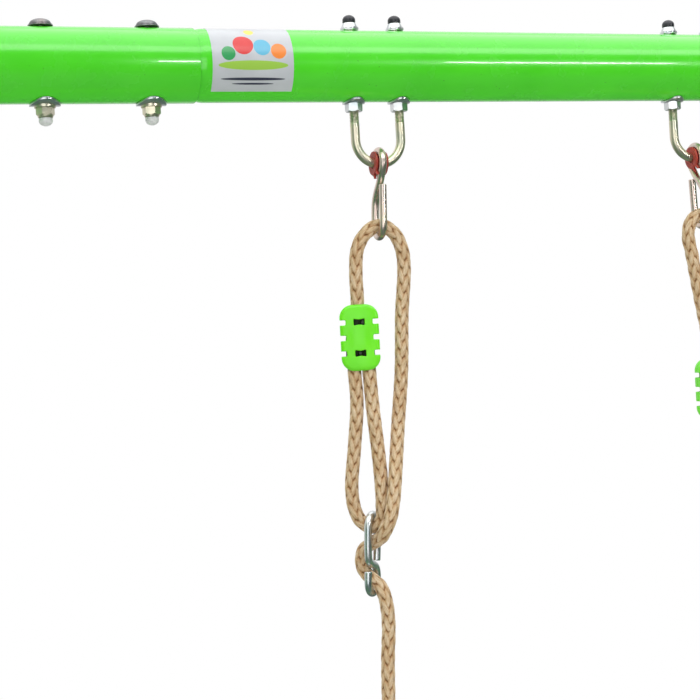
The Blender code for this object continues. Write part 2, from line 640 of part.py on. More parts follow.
def make_swing():
    pivot = bpy.data.objects.new("swing_pivot", None)
    parts.objects.link(pivot)
    pivot.location = (0, 0, BEAM_HEIGHT - PIVOT_DROP)
    bpy.context.view_layer.update()
    for hand, (sign, route, clamp_at, clamp_turn, adjuster_x, adjuster_turn) in SIDES.items():
        frame = hanger_frame(sign)
        drop = Matrix.Translation((0, 0, GAP - PIVOT_DROP))
        bushing = turned(bushing_profile(), 16, frame @ drop @ along_x(z=0), closed=True)
        hang_from(node(f"{hand}_bushing", bushing, "red_plastic"), pivot)
        flip = Matrix.Rotation(math.pi if sign > 0 else 0, 4, "Z")
        hook = bent_wire(HOOK_SHAPE, HOOK_WIRE, frame @ flip)
        hang_from(node(f"{hand}_hook", hook, "pink_zinc"), pivot)
        stand = leaning(adjuster_x * MM, ADJUSTER_DROP, -sign * ADJUSTER_TILT)
        adjuster = bent_wire(ADJUSTER_SHAPE, HOOK_WIRE, stand @ Matrix.Rotation(adjuster_turn, 4, "Z"))
        hang_from(node(f"{hand}_adjuster", adjuster, "zinc"), pivot)
        points = rope_points(route)
        make_rope(hand, points, pivot)
        make_clamp(hand, points, clamp_at, clamp_turn, pivot)
    make_seat(pivot)


clear_scene()
parts = make_collection("swing_frame")
cutters = make_collection("cutters")
make_beam()
make_heads()
make_legs()
make_braces()
make_frame_bolts()
make_joint_bolts()
make_u_bolts()
make_swing()
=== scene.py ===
"""The looks of the swing frame: fine meshes, materials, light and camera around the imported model.

Metres, +Z up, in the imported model's frame: the beam lies along X at BEAM_HEIGHT, and the front of the frame
faces -Y. Every piece here stands for one CAD node or a few, and rides on the same body.
"""
import math

import bmesh
import bpy
import numpy as np
from mathutils import Matrix, Vector


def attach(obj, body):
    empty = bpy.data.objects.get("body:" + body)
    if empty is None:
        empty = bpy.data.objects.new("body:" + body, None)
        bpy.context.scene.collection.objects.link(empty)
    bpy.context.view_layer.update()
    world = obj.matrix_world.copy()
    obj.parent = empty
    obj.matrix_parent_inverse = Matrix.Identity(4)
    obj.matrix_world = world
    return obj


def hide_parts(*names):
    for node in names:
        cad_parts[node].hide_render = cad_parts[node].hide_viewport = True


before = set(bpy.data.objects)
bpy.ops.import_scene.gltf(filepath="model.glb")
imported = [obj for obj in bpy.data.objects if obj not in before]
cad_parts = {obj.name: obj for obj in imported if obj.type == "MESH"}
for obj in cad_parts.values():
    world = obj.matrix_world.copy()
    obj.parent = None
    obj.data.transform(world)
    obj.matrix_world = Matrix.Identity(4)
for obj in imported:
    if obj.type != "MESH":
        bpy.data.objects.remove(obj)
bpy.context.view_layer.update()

MM = 0.001
GAP = 0.3 * MM

# Frame
BEAM_HEIGHT = 1.80
BEAM_RADIUS = 30 * MM
STUB_RADIUS = 30.5 * MM
TUBE_WALL = 1.5 * MM
SEAM_X = 0.3125
SWAGE_LENGTH = 0.165
SHOULDER = 8 * MM
LEG_X = 0.72
STUB_END_X = 0.775
LEG_ANGLE = math.radians(19)
LEG_RADIUS = 24 * MM
LEG_START = 0.10
SPIGOT_END = 0.22
LEG_BOLT_AT = 0.16
FOOT_SLEEVE = 0.10
FOOT_SOLE = 35 * MM
BRACE_HEIGHT = 0.62
BRACE_RADIUS = 16 * MM
BRACE_PLATE = 6 * MM
FOOT_RIBS = 8
FOOT_RIB_SIZE = (3 * MM, 3.4 * MM, 56 * MM)
LABEL_ENDS_X = (-0.303, -0.235)
LABEL_TURNS = (math.radians(-53), math.radians(80))

# Fasteners
BOLT_RADIUS = 4 * MM
NUT_RADIUS = 7.5 * MM
NUT_HEIGHT = 6.6 * MM
JOINT_NUT_HEIGHT = 9.2 * MM
CAP_RADIUS = 5.5 * MM
SADDLE_SIZE = (9.2 * MM, 12.6 * MM)
JOINT_SADDLE_SIZE = (12.3 * MM, 14.9 * MM)
WASHER = 1.6 * MM
JOINT_BOLTS_X = {"inner": 0.3487, "outer": 0.4340}
THREAD_PITCH = 1.25 * MM

# Hangers
HANGER_X = 0.1545
U_RADIUS = 20.5 * MM
U_CENTRE_DROP = 62.5 * MM
PIVOT_DROP = U_CENTRE_DROP + U_RADIUS
HANGER_TILT = math.radians(2.7)
ADJUSTER_DROP = 0.415
ADJUSTER_TILT = math.radians(3.2)
HOOK_WIRE = 3.25 * MM

# Ropes, clamps and seat
ROPE_RADIUS = 5.75 * MM
STRANDS = 4
LOBE_PITCH = 14 * MM
LOBE_REACH = 8.1 * MM
LOBE_WIDTH = 3.05 * MM
LOBE_HEIGHT = 1.8 * MM
LOBE_LEAN = math.radians(15)
CLAMP_SIZE = (33 * MM, 17.6 * MM, 56 * MM)
CLAMP_CORNER = 11 * MM
NOTCH_PITCH = 13.2 * MM
SEAT_HALF_PITCH = 0.195
SEAT_SIZE = (0.44, 0.17, 22 * MM)
SEAT_TOP = 0.44
SEAT_HOLE_RADIUS = 6.7 * MM
SEAT_GROOVE_PITCH = 15.5 * MM
CHANNEL_RADIUS = 6.0 * MM

# Fineness of the meshes
BEAM_SIDES = 128
LEG_SIDES = 96
BRACE_SIDES = 64
ROPE_SIDES = 48
FINE_STEP = 0.8 * MM

# Camera: turns about the vertical, the horizontal and the line of sight
CAMERA_TURNS = (0.326104, -0.0115745, -0.0571)
CAMERA_PLACE = (-0.5923, -1.1875, BEAM_HEIGHT - 0.2255)
CAMERA_LENS = 76.1

# Rope routes, millimetres from the middle of the beam, from the end inside the clamp to the stopper knot
LEFT_ROUTE = [
    (-175.4, -2.0, -230), (-175.3, -2.2, -258), (-174.4, -3.3, -290), (-172.6, -6.2, -330),
    (-172.4, -8.8, -356), (-172.6, -8.9, -372), (-173.6, -7.2, -385.2), (-179.5, 0.0, -391.6),
    (-187.0, 5.9, -387.0), (-191.8, 8.0, -376), (-193.5, 8.0, -358), (-189.8, 5.2, -322),
    (-186.2, 3.0, -285), (-187.2, 2.1, -256), (-187.2, 2.1, -232), (-181.8, 0.4, -203),
    (-181.6, 0.0, -176), (-179.0, 0.0, -155), (-171.5, 0.0, -142.6), (-158.3, 0.0, -135.4),
    (-145.5, 0.0, -142.0), (-138.8, 0.0, -156), (-137.6, 0.0, -172), (-142.0, 0.0, -212),
    (-145.7, -1.0, -260), (-153.0, -4.2, -308), (-162.8, -16.8, -350), (-165.8, -18.8, -366),
    (-170.2, -19.8, -383.0), (-174.0, -15.8, -393.6), (-176.4, -8.8, -400.6), (-180.2, 0.0, -405.0),
    (-186.0, 6.0, -410.8), (-188.0, 8.2, -418.5), (-187.6, 6.8, -427), (-182.4, -0.2, -436.2),
    (-177.8, -4.4, -440.8), (-175.0, -7.2, -449.0), (-173.2, -7.6, -460), (-172.4, -6.6, -475),
    (-174.8, -5.8, -510), (-182.4, -2.0, -830), (-195.0, 0.0, -1330), (-195.0, 0.0, -1395)]
RIGHT_ROUTE = [
    (168.5, -1.0, -296), (168.6, -1.2, -324), (176.0, -2.6, -343), (184.3, -4.0, -363),
    (185.0, -4.0, -376), (183.5, -3.3, -388), (174.9, 0.0, -394.6), (165.5, 3.3, -388),
    (162.6, 4.0, -374), (160.6, 3.6, -356), (157.0, 1.8, -336), (156.3, 1.0, -316),
    (156.3, 1.0, -298), (161.0, 0.2, -267), (157.5, 0.0, -244), (151.5, 0.0, -208),
    (146.0, 0.0, -172), (143.2, 0.0, -153), (147.8, 0.0, -140.0), (158.3, 0.0, -135.0),
    (168.8, 0.0, -141.0), (174.4, 0.0, -155), (177.5, 0.0, -175), (183.0, 0.0, -225),
    (190.5, -1.0, -290), (195.8, -5.4, -340), (198.4, -8.4, -366), (197.6, -8.2, -380),
    (194.9, -7.4, -391.2), (185.9, -3.9, -402), (175.6, 0.0, -407), (167.2, 3.1, -414),
    (166.2, 3.8, -425), (177.2, 0.0, -436.1), (186.4, -3.4, -441), (190.0, -4.6, -455),
    (189.4, -3.4, -510), (191.0, -1.5, -830), (195.0, 0.0, -1330), (195.0, 0.0, -1395)]

# Per side: sign along X, rope route and its length, clamp centre and turn, adjuster place along X and turn
SIDES = {
    "left": (-1, LEFT_ROUTE, 1.741, (-181.2, 0.0, -230), math.radians(-19), -180.9, math.radians(-42)),
    "right": (1, RIGHT_ROUTE, 1.680, (162.5, 0.0, -296), math.radians(-10), 176.0, math.radians(-20)),
}

# Wire shapes, millimetres: points, and arcs given as (centre across, centre height, radius, from, to)
HOOK_SHAPE = [(0, -82.95, 11, -48, 215), (-2.2, -99.5), (4.0, -106.5), (8.6, -114), (10, -123),
              (0, -135.3, 10, 0, -180), (-10, -118), (-9.6, -101.5)]
ADJUSTER_SHAPE = [(9.0, -421), (9.8, -410), (0, -390.55, 9.8, 0, 180), (-9.8, -413), (-8.6, -418.5),
                  (-4.4, -422.0), (1.5, -423.6), (6.8, -426.2), (9.6, -432.0),
                  (0, -437.6, 9.8, 0, -180), (-9.6, -428.2)]

# The foot's base in millimetres: radius, height and the rounding of each corner
FOOT_BASE = [(0, 13), (34, 13, 3), (45, 9, 2), (46, 5.5, 1), (44, 4.5, 0.6), (46, 3.5, 0.6),
             (46, 0, 0.8), (0, 0)]


# ---------------------------------------------------------------- materials

class Surface:
    """A Principled material, with short calls for the nodes that its detail is made of."""

    def __init__(self, name, **values):
        self.material = bpy.data.materials.new(name)
        self.material.use_nodes = True
        self.nodes = self.material.node_tree.nodes
        self.links = self.material.node_tree.links
        self.shader = self.nodes["Principled BSDF"]
        for key, value in values.items():
            self.shader.inputs[key.replace("_", " ")].default_value = value
        self.place = self.nodes.new("ShaderNodeTexCoord").outputs["Object"]

    def set(self, name, output):
        self.links.new(output, self.shader.inputs[name])
        return self

    def stretched(self, scale, source=None):
        node = self.nodes.new("ShaderNodeMapping")
        node.inputs["Scale"].default_value = scale
        self.links.new(source or self.place, node.inputs["Vector"])
        return node.outputs["Vector"]

    def uv(self, scale):
        node = self.nodes.new("ShaderNodeUVMap")
        node.uv_map = "lay"
        return self.stretched(scale, node.outputs["UV"])

    def noise(self, scale, detail=3.0, source=None, roughness=0.5):
        node = self.nodes.new("ShaderNodeTexNoise")
        node.inputs["Scale"].default_value = scale
        node.inputs["Detail"].default_value = detail
        node.inputs["Roughness"].default_value = roughness
        self.links.new(source or self.place, node.inputs["Vector"])
        return node.outputs["Fac"]

    def attribute(self, name):
        node = self.nodes.new("ShaderNodeAttribute")
        node.attribute_name = name
        return node.outputs["Fac"]

    def ramp(self, source, *stops):
        """Colours or grey values at positions from 0 to 1."""
        node = self.nodes.new("ShaderNodeValToRGB")
        elements = node.color_ramp.elements
        while len(elements) < len(stops):
            elements.new(0.5)
        for element, (position, value) in zip(elements, stops):
            element.position = position
            element.color = (*value, 1) if isinstance(value, tuple) else (value, value, value, 1)
        self.links.new(source, node.inputs["Fac"])
        return node.outputs["Color"]

    def mix(self, share, first, second, kind="MIX"):
        """Each of the three is an output, a number or a colour."""
        node = self.nodes.new("ShaderNodeMix")
        node.data_type = "RGBA"
        node.blend_type = kind
        for key, value in (("Factor", share), (6, first), (7, second)):
            if isinstance(value, bpy.types.NodeSocket):
                self.links.new(value, node.inputs[key])
            else:
                node.inputs[key].default_value = (*value, 1) if isinstance(value, tuple) else value
        return node.outputs[2]

    def maths(self, operation, *values):
        node = self.nodes.new("ShaderNodeMath")
        node.operation = operation
        for socket, value in zip(node.inputs, values):
            if isinstance(value, bpy.types.NodeSocket):
                self.links.new(value, socket)
            else:
                socket.default_value = value
        return node.outputs["Value"]

    def bump(self, height, depth, strength=1.0):
        node = self.nodes.new("ShaderNodeBump")
        node.inputs["Strength"].default_value = strength
        node.inputs["Distance"].default_value = depth
        self.links.new(height, node.inputs["Height"])
        if self.shader.inputs["Normal"].is_linked:
            self.links.new(self.shader.inputs["Normal"].links[0].from_socket, node.inputs["Normal"])
        return self.set("Normal", node.outputs["Normal"])


def powder_coat():
    """Glossy green powder coat: orange peel, faint clouding and a few dark specks."""
    s = Surface("powder_coat", Coat_Weight=0.6, Coat_Roughness=0.05, Coat_IOR=1.45, Specular_IOR_Level=0.45)
    cloud = s.ramp(s.noise(14, 4), (0.3, (0.062, 0.60, 0.014)), (0.7, (0.078, 0.67, 0.020)))
    specks = s.ramp(s.noise(420, 2), (0.745, 0.0), (0.765, 0.8))
    s.set("Base Color", s.mix(specks, cloud, (0.03, 0.16, 0.01)))
    s.set("Roughness", s.ramp(s.noise(60, 4), (0.3, 0.20), (0.7, 0.30)))
    return s.bump(s.noise(200, 2), 0.04 * MM, 0.30).material


def plated(name, tints, roughness):
    """Zinc plating: passivation tints that drift over the surface, which is slightly uneven."""
    s = Surface(name, Metallic=1.0)
    step = 1 / (len(tints) - 1)
    drift = s.noise(55, 3, roughness=0.6)
    tint = s.ramp(drift, *[(0.28 + 0.44 * i * step, colour) for i, colour in enumerate(tints)])
    dull = s.ramp(s.noise(150, 3), (0.35, 0.0), (0.75, 0.16))
    s.set("Base Color", s.mix(dull, tint, (0.45, 0.45, 0.44)))
    s.set("Roughness", s.ramp(s.noise(130, 4), (0.3, roughness * 0.85), (0.7, roughness * 1.2)))
    return s.bump(s.noise(140, 2), 0.03 * MM, 0.15).material


def plastic(name, low, high, roughness, grain=600.0, depth=0.02, **values):
    """Moulded plastic: slight flow marks in its colour and a fine grain, with painted shade inside its
    recesses.
    """
    s = Surface(name, **values)
    flow = s.ramp(s.noise(35, 4), (0.3, low), (0.7, high))
    # Painted shade: the colour is darkened to near black inside recesses, by the stored recess depth.
    s.set("Base Color", s.mix(s.attribute("recess_shade"), flow, tuple(0.06 * value for value in low)))
    s.set("Roughness", s.ramp(s.noise(90, 3), (0.3, roughness * 0.8), (0.7, roughness * 1.2)))
    return s.bump(s.noise(grain, 2), depth * MM, 0.5).material


def rope_fibre():
    """Hemp-coloured braid: painted shade between the lobes and near black painted shade inside the clamp,
    with fibres along each lobe.
    """
    s = Surface("rope_fibre", Sheen_Weight=0.25, Sheen_Roughness=0.4, Specular_IOR_Level=0.3)
    fibre = s.noise(1.0, 3, s.uv((2200, 170, 1)), 0.6)
    base = s.ramp(fibre, (0.28, (0.44, 0.285, 0.155)), (0.5, (0.63, 0.47, 0.30)), (0.74, (0.82, 0.69, 0.52)))
    cloud = s.ramp(s.noise(70, 3), (0.35, (0.86, 0.80, 0.72)), (0.65, (1.0, 1.0, 1.0)))
    base = s.mix(1.0, base, cloud, "MULTIPLY")
    # Painted shade in the grooves between lobes, from the braid's lift attribute.
    shade = s.ramp(s.attribute("lift"), (0.10, (0.34, 0.21, 0.12)), (0.46, (0.72, 0.58, 0.43)),
                   (0.82, (1, 1, 1)))
    base = s.mix(1.0, base, shade, "MULTIPLY")
    # Painted shade: near black where the rope lies inside the clamp.
    s.set("Base Color", s.mix(s.attribute("recess_shade"), base, (0.02, 0.028, 0.012)))
    s.set("Roughness", s.ramp(fibre, (0.3, 0.8), (0.7, 0.6)))
    return s.bump(fibre, 0.2 * MM, 0.6).material


def foot_rubber():
    s = Surface("foot_rubber", Specular_IOR_Level=0.3)
    s.set("Base Color", s.ramp(s.noise(50, 5), (0.3, (0.012, 0.012, 0.013)), (0.75, (0.035, 0.034, 0.033))))
    s.set("Roughness", s.ramp(s.noise(120, 3), (0.3, 0.5), (0.7, 0.75)))
    return s.bump(s.noise(700, 3), 0.06 * MM, 0.6).material


def label_print():
    """A printed label in plain shapes: a green strip, round dots and two rules, on white film."""
    s = Surface("label_print", Coat_Weight=0.3, Coat_Roughness=0.12, Specular_IOR_Level=0.4)
    colour = s.ramp(s.noise(40, 3), (0.3, (0.45, 0.46, 0.49)), (0.7, (0.51, 0.525, 0.55)))
    uv = s.nodes.new("ShaderNodeSeparateXYZ")
    s.links.new(s.uv((1, 1, 1)), uv.inputs["Vector"])
    across, up = uv.outputs["X"], uv.outputs["Y"]
    shapes = [(0.50, 0.33, 0.43, 0.055, (0.30, 0.52, 0.06)),
              (0.20, 0.47, 0.085, 0.085, (0.03, 0.30, 0.09)),
              (0.39, 0.58, 0.125, 0.125, (0.62, 0.035, 0.035)),
              (0.62, 0.55, 0.105, 0.105, (0.11, 0.42, 0.60)), (0.82, 0.50, 0.095, 0.095, (0.80, 0.22, 0.03)),
              (0.50, 0.80, 0.060, 0.060, (0.85, 0.55, 0.06)),
              (0.50, 0.17, 0.400, 0.018, (0.03, 0.03, 0.06)), (0.50, 0.11, 0.260, 0.012, (0.03, 0.03, 0.06))]
    for u, v, half_width, half_height, paint in shapes:
        x = s.maths("DIVIDE", s.maths("SUBTRACT", across, u), half_width)
        y = s.maths("DIVIDE", s.maths("SUBTRACT", up, v), half_height)
        reach = s.maths("ADD", s.maths("MULTIPLY", x, x), s.maths("MULTIPLY", y, y))
        inside = s.maths("LESS_THAN", reach, 1.0)
        colour = s.mix(inside, colour, paint)
    s.set("Base Color", colour)
    s.set("Roughness", s.ramp(s.noise(80, 3), (0.3, 0.30), (0.7, 0.42)))
    return s.bump(s.noise(160, 2), 0.04 * MM, 0.4).material


FINISHES = {
    "frame_coat": powder_coat(),
    "zinc": plated("clear_zinc", [(0.54, 0.61, 0.63), (0.73, 0.75, 0.76), (0.77, 0.72, 0.74)], 0.30),
    "dull_zinc": plated("dull_zinc", [(0.16, 0.17, 0.17), (0.20, 0.21, 0.22), (0.24, 0.21, 0.21)], 0.38),
    "yellow_zinc": plated("yellow_zinc", [(0.58, 0.62, 0.50), (0.78, 0.72, 0.54), (0.76, 0.66, 0.56)], 0.36),
    "pink_zinc": plated("pink_zinc", [(0.60, 0.54, 0.47), (0.76, 0.61, 0.54), (0.78, 0.68, 0.52)], 0.29),
    "black_plastic": plastic("black_cap", (0.012, 0.012, 0.018), (0.026, 0.025, 0.034), 0.35),
    "white_plastic": plastic("white_cap", (0.78, 0.78, 0.77), (0.86, 0.86, 0.85), 0.38,
                             Transmission_Weight=0.25, Subsurface_Weight=0.3, Subsurface_Radius=(0.004,) * 3),
    "red_plastic": plastic("red_bushing", (0.27, 0.024, 0.014), (0.40, 0.040, 0.022), 0.50),
    "green_plastic": plastic("green_moulding", (0.125, 0.70, 0.005), (0.160, 0.78, 0.008), 0.36, 420.0, 0.03),
    "rope": rope_fibre(),
    "foot_rubber": foot_rubber(),
    "label": label_print(),
}


# ---------------------------------------------------------------- mesh making

def finished(bm):
    bmesh.ops.recalc_face_normals(bm, faces=bm.faces)
    mesh = bpy.data.meshes.new("shape")
    bm.to_mesh(mesh)
    bm.free()
    return mesh


def temporary(mesh):
    obj = bpy.data.objects.new("shape", mesh)
    bpy.context.scene.collection.objects.link(obj)
    return obj


def bake(obj):
    """The object's evaluated mesh; the object itself is removed."""
    bpy.context.view_layer.update()
    mesh = bpy.data.meshes.new_from_object(obj.evaluated_get(bpy.context.evaluated_depsgraph_get()))
    bpy.data.objects.remove(obj, do_unlink=True)
    return mesh


def combine(body, operation, others):
    for other in others:
        base, helper = temporary(body), temporary(other)
        modifier = base.modifiers.new("combine", "BOOLEAN")
        modifier.operation = operation
        modifier.object = helper
        modifier.solver = "EXACT"
        body = bake(base)
        bpy.data.objects.remove(helper, do_unlink=True)
    return body


def join(body, *others):
    return combine(body, "UNION", others)


def cut(body, *others):
    return combine(body, "DIFFERENCE", others)


def moulded(mesh, voxel, rounds):
    """One skin over the shapes, with its edges softened as in a mould."""
    obj = temporary(mesh)
    skin = obj.modifiers.new("skin", "REMESH")
    skin.mode = "VOXEL"
    skin.voxel_size = voxel
    soften = obj.modifiers.new("soften", "SMOOTH")
    soften.factor = 0.5
    soften.iterations = rounds
    return bake(obj)


def softened(mesh, width, segments=2, angle=35):
    obj = temporary(mesh)
    bevel = obj.modifiers.new("soften", "BEVEL")
    bevel.width = width
    bevel.segments = segments
    bevel.limit_method = "ANGLE"
    bevel.angle_limit = math.radians(angle)
    return bake(obj)


def merged(*meshes):
    bm = bmesh.new()
    for mesh in meshes:
        bm.from_mesh(mesh)
    return finished(bm)


def placed(mesh, place):
    mesh = mesh.copy()
    mesh.transform(place)
    if place.to_3x3().determinant() < 0:
        mesh.flip_normals()
    return mesh


def rounded(corners, steps=5):
    """A profile of (radius, height) or (radius, height, rounding) corners, with its corners rounded."""
    points = []
    for before, here, after in zip(corners[-1:] + corners, corners, corners[1:] + corners[:1]):
        corner = Vector(here[:2])
        if len(here) < 3:
            points.append(tuple(corner))
            continue
        start = corner + (Vector(before[:2]) - corner).normalized() * here[2]
        end = corner + (Vector(after[:2]) - corner).normalized() * here[2]
        for i in range(steps + 1):
            t = i / steps
            points.append(tuple(start * (1 - t) ** 2 + corner * 2 * t * (1 - t) + end * t * t))
    return points


def turned(profile, segments=64, place=None, closed=False):
    """A profile of (radius, height) points turned about Z; a closed one is a ring."""
    bm = bmesh.new()
    rings = []
    for radius, height in profile:
        count = segments if radius > 1e-7 else 1
        turns = [math.tau * i / segments for i in range(count)]
        rings.append([bm.verts.new((radius * math.cos(t), radius * math.sin(t), height)) for t in turns])
    for low, high in zip(rings, rings[1:] + (rings[:1] if closed else [])):
        for i in range(segments):
            j = (i + 1) % segments
            corners = (low[i % len(low)], low[j % len(low)], high[j % len(high)], high[i % len(high)])
            bm.faces.new(dict.fromkeys(corners))
    if place is not None:
        bmesh.ops.transform(bm, matrix=place, verts=bm.verts)
    return finished(bm)


def rod(radius, low, high, segments=64, place=None, edge=0.0):
    corners = [(0, high), (radius, high, edge), (radius, low, edge), (0, low)]
    return turned(rounded(corners) if edge else [c[:2] for c in corners], segments, place)


def dome(radius, height, base=0.0, count=10):
    turns = [i * math.pi / 2 / count for i in range(count + 1)]
    return [(radius * math.sin(turn), base + height * math.cos(turn)) for turn in turns]


def block(size, centre, place=None):
    bm = bmesh.new()
    bmesh.ops.create_cube(bm, size=1.0)
    matrix = Matrix.Translation(centre) @ Matrix.Diagonal((*size, 1))
    bmesh.ops.transform(bm, matrix=matrix if place is None else place @ matrix, verts=bm.verts)
    return finished(bm)


def slab(length, width, thickness, corner, edge):
    bm = bmesh.new()
    bmesh.ops.create_cube(bm, size=1.0)
    bmesh.ops.scale(bm, vec=(length, width, thickness), verts=bm.verts)
    upright = [e for e in bm.edges if abs((e.verts[0].co - e.verts[1].co).z) > thickness / 2]
    bmesh.ops.bevel(bm, geom=upright, offset=corner, segments=12, profile=0.5, affect="EDGES")
    rims = [e for e in bm.edges if abs((e.verts[0].co - e.verts[1].co).z) < thickness / 2]
    bmesh.ops.bevel(bm, geom=rims, offset=edge, segments=6, profile=0.5, affect="EDGES")
    return finished(bm)


def hexagon(radius, low, high, chamfer=True):
    """A hexagon nut or head, with its corners turned down at both ends."""
    bm = bmesh.new()
    bmesh.ops.create_cone(bm, cap_ends=True, segments=6, radius1=radius, radius2=radius, depth=high - low,
                          matrix=Matrix.Translation((0, 0, (low + high) / 2)))
    prism = finished(bm)
    if not chamfer:
        return prism
    drop = 0.20 * radius
    cone = [(0, high), (radius * 0.87, high), (radius * 1.02, high - drop * 0.6),
            (radius * 1.02, low + drop * 0.6), (radius * 0.87, low), (0, low)]
    return combine(prism, "INTERSECT", [turned(cone, 48)])


def limited(value):
    """The value, held between 0 and 1."""
    return max(0.0, min(1.0, value))


def in_mm(corners):
    return [tuple(value * MM for value in corner) for corner in corners]


def mix(a, b, low, high, t):
    share = (t - low) / (high - low)
    return a * (1 - share) + b * share


def smooth_curve(points, step):
    """A centripetal curve through the points, sampled about a step apart."""
    ends = [points[0] * 2 - points[1]] + points + [points[-1] * 2 - points[-2]]
    result = [points[0]]
    for corners in zip(ends, ends[1:], ends[2:], ends[3:]):
        knots = [0.0]
        for a, b in zip(corners, corners[1:]):
            knots.append(knots[-1] + math.sqrt((b - a).length))
        count = max(1, round((corners[2] - corners[1]).length / step))
        for i in range(1, count + 1):
            t = knots[1] + (knots[2] - knots[1]) * i / count
            first = [mix(corners[k], corners[k + 1], knots[k], knots[k + 1], t) for k in range(3)]
            second = [mix(first[k], first[k + 1], knots[k], knots[k + 2], t) for k in range(2)]
            result.append(mix(second[0], second[1], knots[1], knots[2], t))
    return result


def arc(across, height, radius, start, end, step=15):
    count = max(2, round(abs(end - start) / step))
    angles = [math.radians(start + (end - start) * i / count) for i in range(count + 1)]
    return [(across + radius * math.cos(a), height + radius * math.sin(a)) for a in angles]


def carried_normals(points):
    """Tangents along a path, and normals that turn with it without twisting."""
    tangents = np.gradient(points, axis=0)
    tangents /= np.linalg.norm(tangents, axis=1)[:, None]
    start = np.cross(tangents[0], (0.0, 1.0, 0.0))
    if np.linalg.norm(start) < 0.1:
        start = np.cross(tangents[0], (1.0, 0.0, 0.0))
    normals = [start / np.linalg.norm(start)]
    for tangent in tangents[1:]:
        normal = normals[-1] - tangent * (normals[-1] @ tangent)
        normals.append(normal / np.linalg.norm(normal))
    return tangents, np.array(normals)


def swept(path, radius, stations=None, step=1.2 * MM, sides=24, relief=None, tip=None):
    """A round tube along a path, with its ends rounded by the tip's radius. relief(distance, turn) is added
    to its radius, and may also give values for the mesh's attributes."""
    tip = tip or radius
    points = np.array([tuple(p) for p in path])
    lengths = np.concatenate([[0], np.cumsum(np.linalg.norm(np.diff(points, axis=0), axis=1))])
    total = lengths[-1]
    if stations is None:
        stations = np.linspace(tip, total - tip, max(4, round((total - 2 * tip) / step)))
    ends = tip * (1 - np.cos(np.linspace(0.12, 1, 6)[:-1] * math.pi / 2))
    stations = np.concatenate([ends, stations, total - ends[::-1]])
    centres = np.stack([np.interp(stations, lengths, points[:, k]) for k in range(3)], axis=1)
    tangents, normals = carried_normals(centres)
    sideways = np.cross(tangents, normals)
    inset = np.clip(1 - np.minimum(stations, total - stations) / tip, 0, 1)
    taper = 1 - tip / radius * (1 - np.sqrt(1 - inset ** 2))
    turns = np.arange(sides) * math.tau / sides
    distance, turn = np.meshgrid(stations, turns, indexing="ij")
    lift, lay = relief(distance, turn) if relief else (np.zeros_like(turn), None)
    reach = (radius + lift) * taper[:, None]
    rings = (centres[:, None] + normals[:, None] * (reach * np.cos(turn))[..., None]
             + sideways[:, None] * (reach * np.sin(turn))[..., None])
    count = len(stations)
    i, j = np.meshgrid(np.arange(count - 1), np.arange(sides), indexing="ij")
    k = (j + 1) % sides
    faces = np.stack([i * sides + j, i * sides + k, (i + 1) * sides + k, (i + 1) * sides + j], -1)
    faces = faces.reshape(-1, 4)
    lids = [list(range(sides))[::-1], list(range((count - 1) * sides, count * sides))]
    mesh = bpy.data.meshes.new("sweep")
    mesh.from_pydata(rings.reshape(-1, 3).tolist(), [], faces.tolist() + lids)
    if lay is not None:
        # The lift attribute holds painted shade for the material; the lay UVs follow the lobes.
        groove_shade, along, across = (value.reshape(-1) for value in lay)
        mesh.attributes.new("lift", "FLOAT", "POINT").data.foreach_set("value", groove_shade.astype(np.float32))
        corners = np.empty(len(mesh.loops), np.int32)
        mesh.loops.foreach_get("vertex_index", corners)
        uv = np.stack([across[corners], along[corners]], axis=1).astype(np.float32)
        mesh.uv_layers.new(name="lay").data.foreach_set("uv", uv.reshape(-1))
    bm = bmesh.new()
    bm.from_mesh(mesh)
    bmesh.ops.recalc_face_normals(bm, faces=bm.faces)
    bm.to_mesh(mesh)
    bm.free()
    return mesh


def braid(distance, turn):
    """A plait: columns of pointed lobes that lean left and right in turn, each tip over the next foot."""
    pitch = math.tau / STRANDS
    best = np.zeros_like(turn)
    second = np.zeros_like(turn)
    along, across = np.zeros_like(turn), np.zeros_like(turn)
    for lean, shift in ((1, 0.0), (-1, 0.5)):
        sideways = (turn / pitch - shift - np.round(turn / pitch - shift)) * pitch * ROPE_RADIUS
        nearest = np.round(distance / LOBE_PITCH - shift)
        for step in (-1, 0, 1):
            up = distance - (nearest + step + shift) * LOBE_PITCH
            length = up * math.cos(LOBE_LEAN) + lean * sideways * math.sin(LOBE_LEAN)
            width = sideways * math.cos(LOBE_LEAN) - lean * up * math.sin(LOBE_LEAN)
            end = np.clip(1 - (length / LOBE_REACH) ** 2, 0, 1)
            round_off = np.clip(1 - (width / (LOBE_WIDTH * end ** 0.6 + 1e-9)) ** 2, 0, 1)
            crest = 0.9 * end ** 0.35 + 0.14 * length / LOBE_REACH
            height = np.where(end > 0, np.sqrt(round_off) * crest, 0)
            above = height > best
            second = np.where(above, best, np.maximum(second, height))
            along = np.where(above, length + (nearest + step) * 5 * MM + lean, along)
            across = np.where(above, width + shift, across)
            best = np.where(above, height, best)
    # The first lift value returned is painted shade: low in the grooves and where lobes meet, for the rope's
    # material to darken.
    groove = np.clip((best - second) / 0.20, 0, 1)
    return (best - 0.72) * LOBE_HEIGHT, (best * (0.48 + 0.52 * groove), along, across)


def store_painted_shade(mesh, depth):
    """Stores how deep each point lies in a recess, from 0 outside to 1, as painted shade for the material to
    darken.
    """
    values = [depth(vertex.co) for vertex in mesh.vertices]
    mesh.attributes.new("recess_shade", "FLOAT", "POINT").data.foreach_set("value", values)


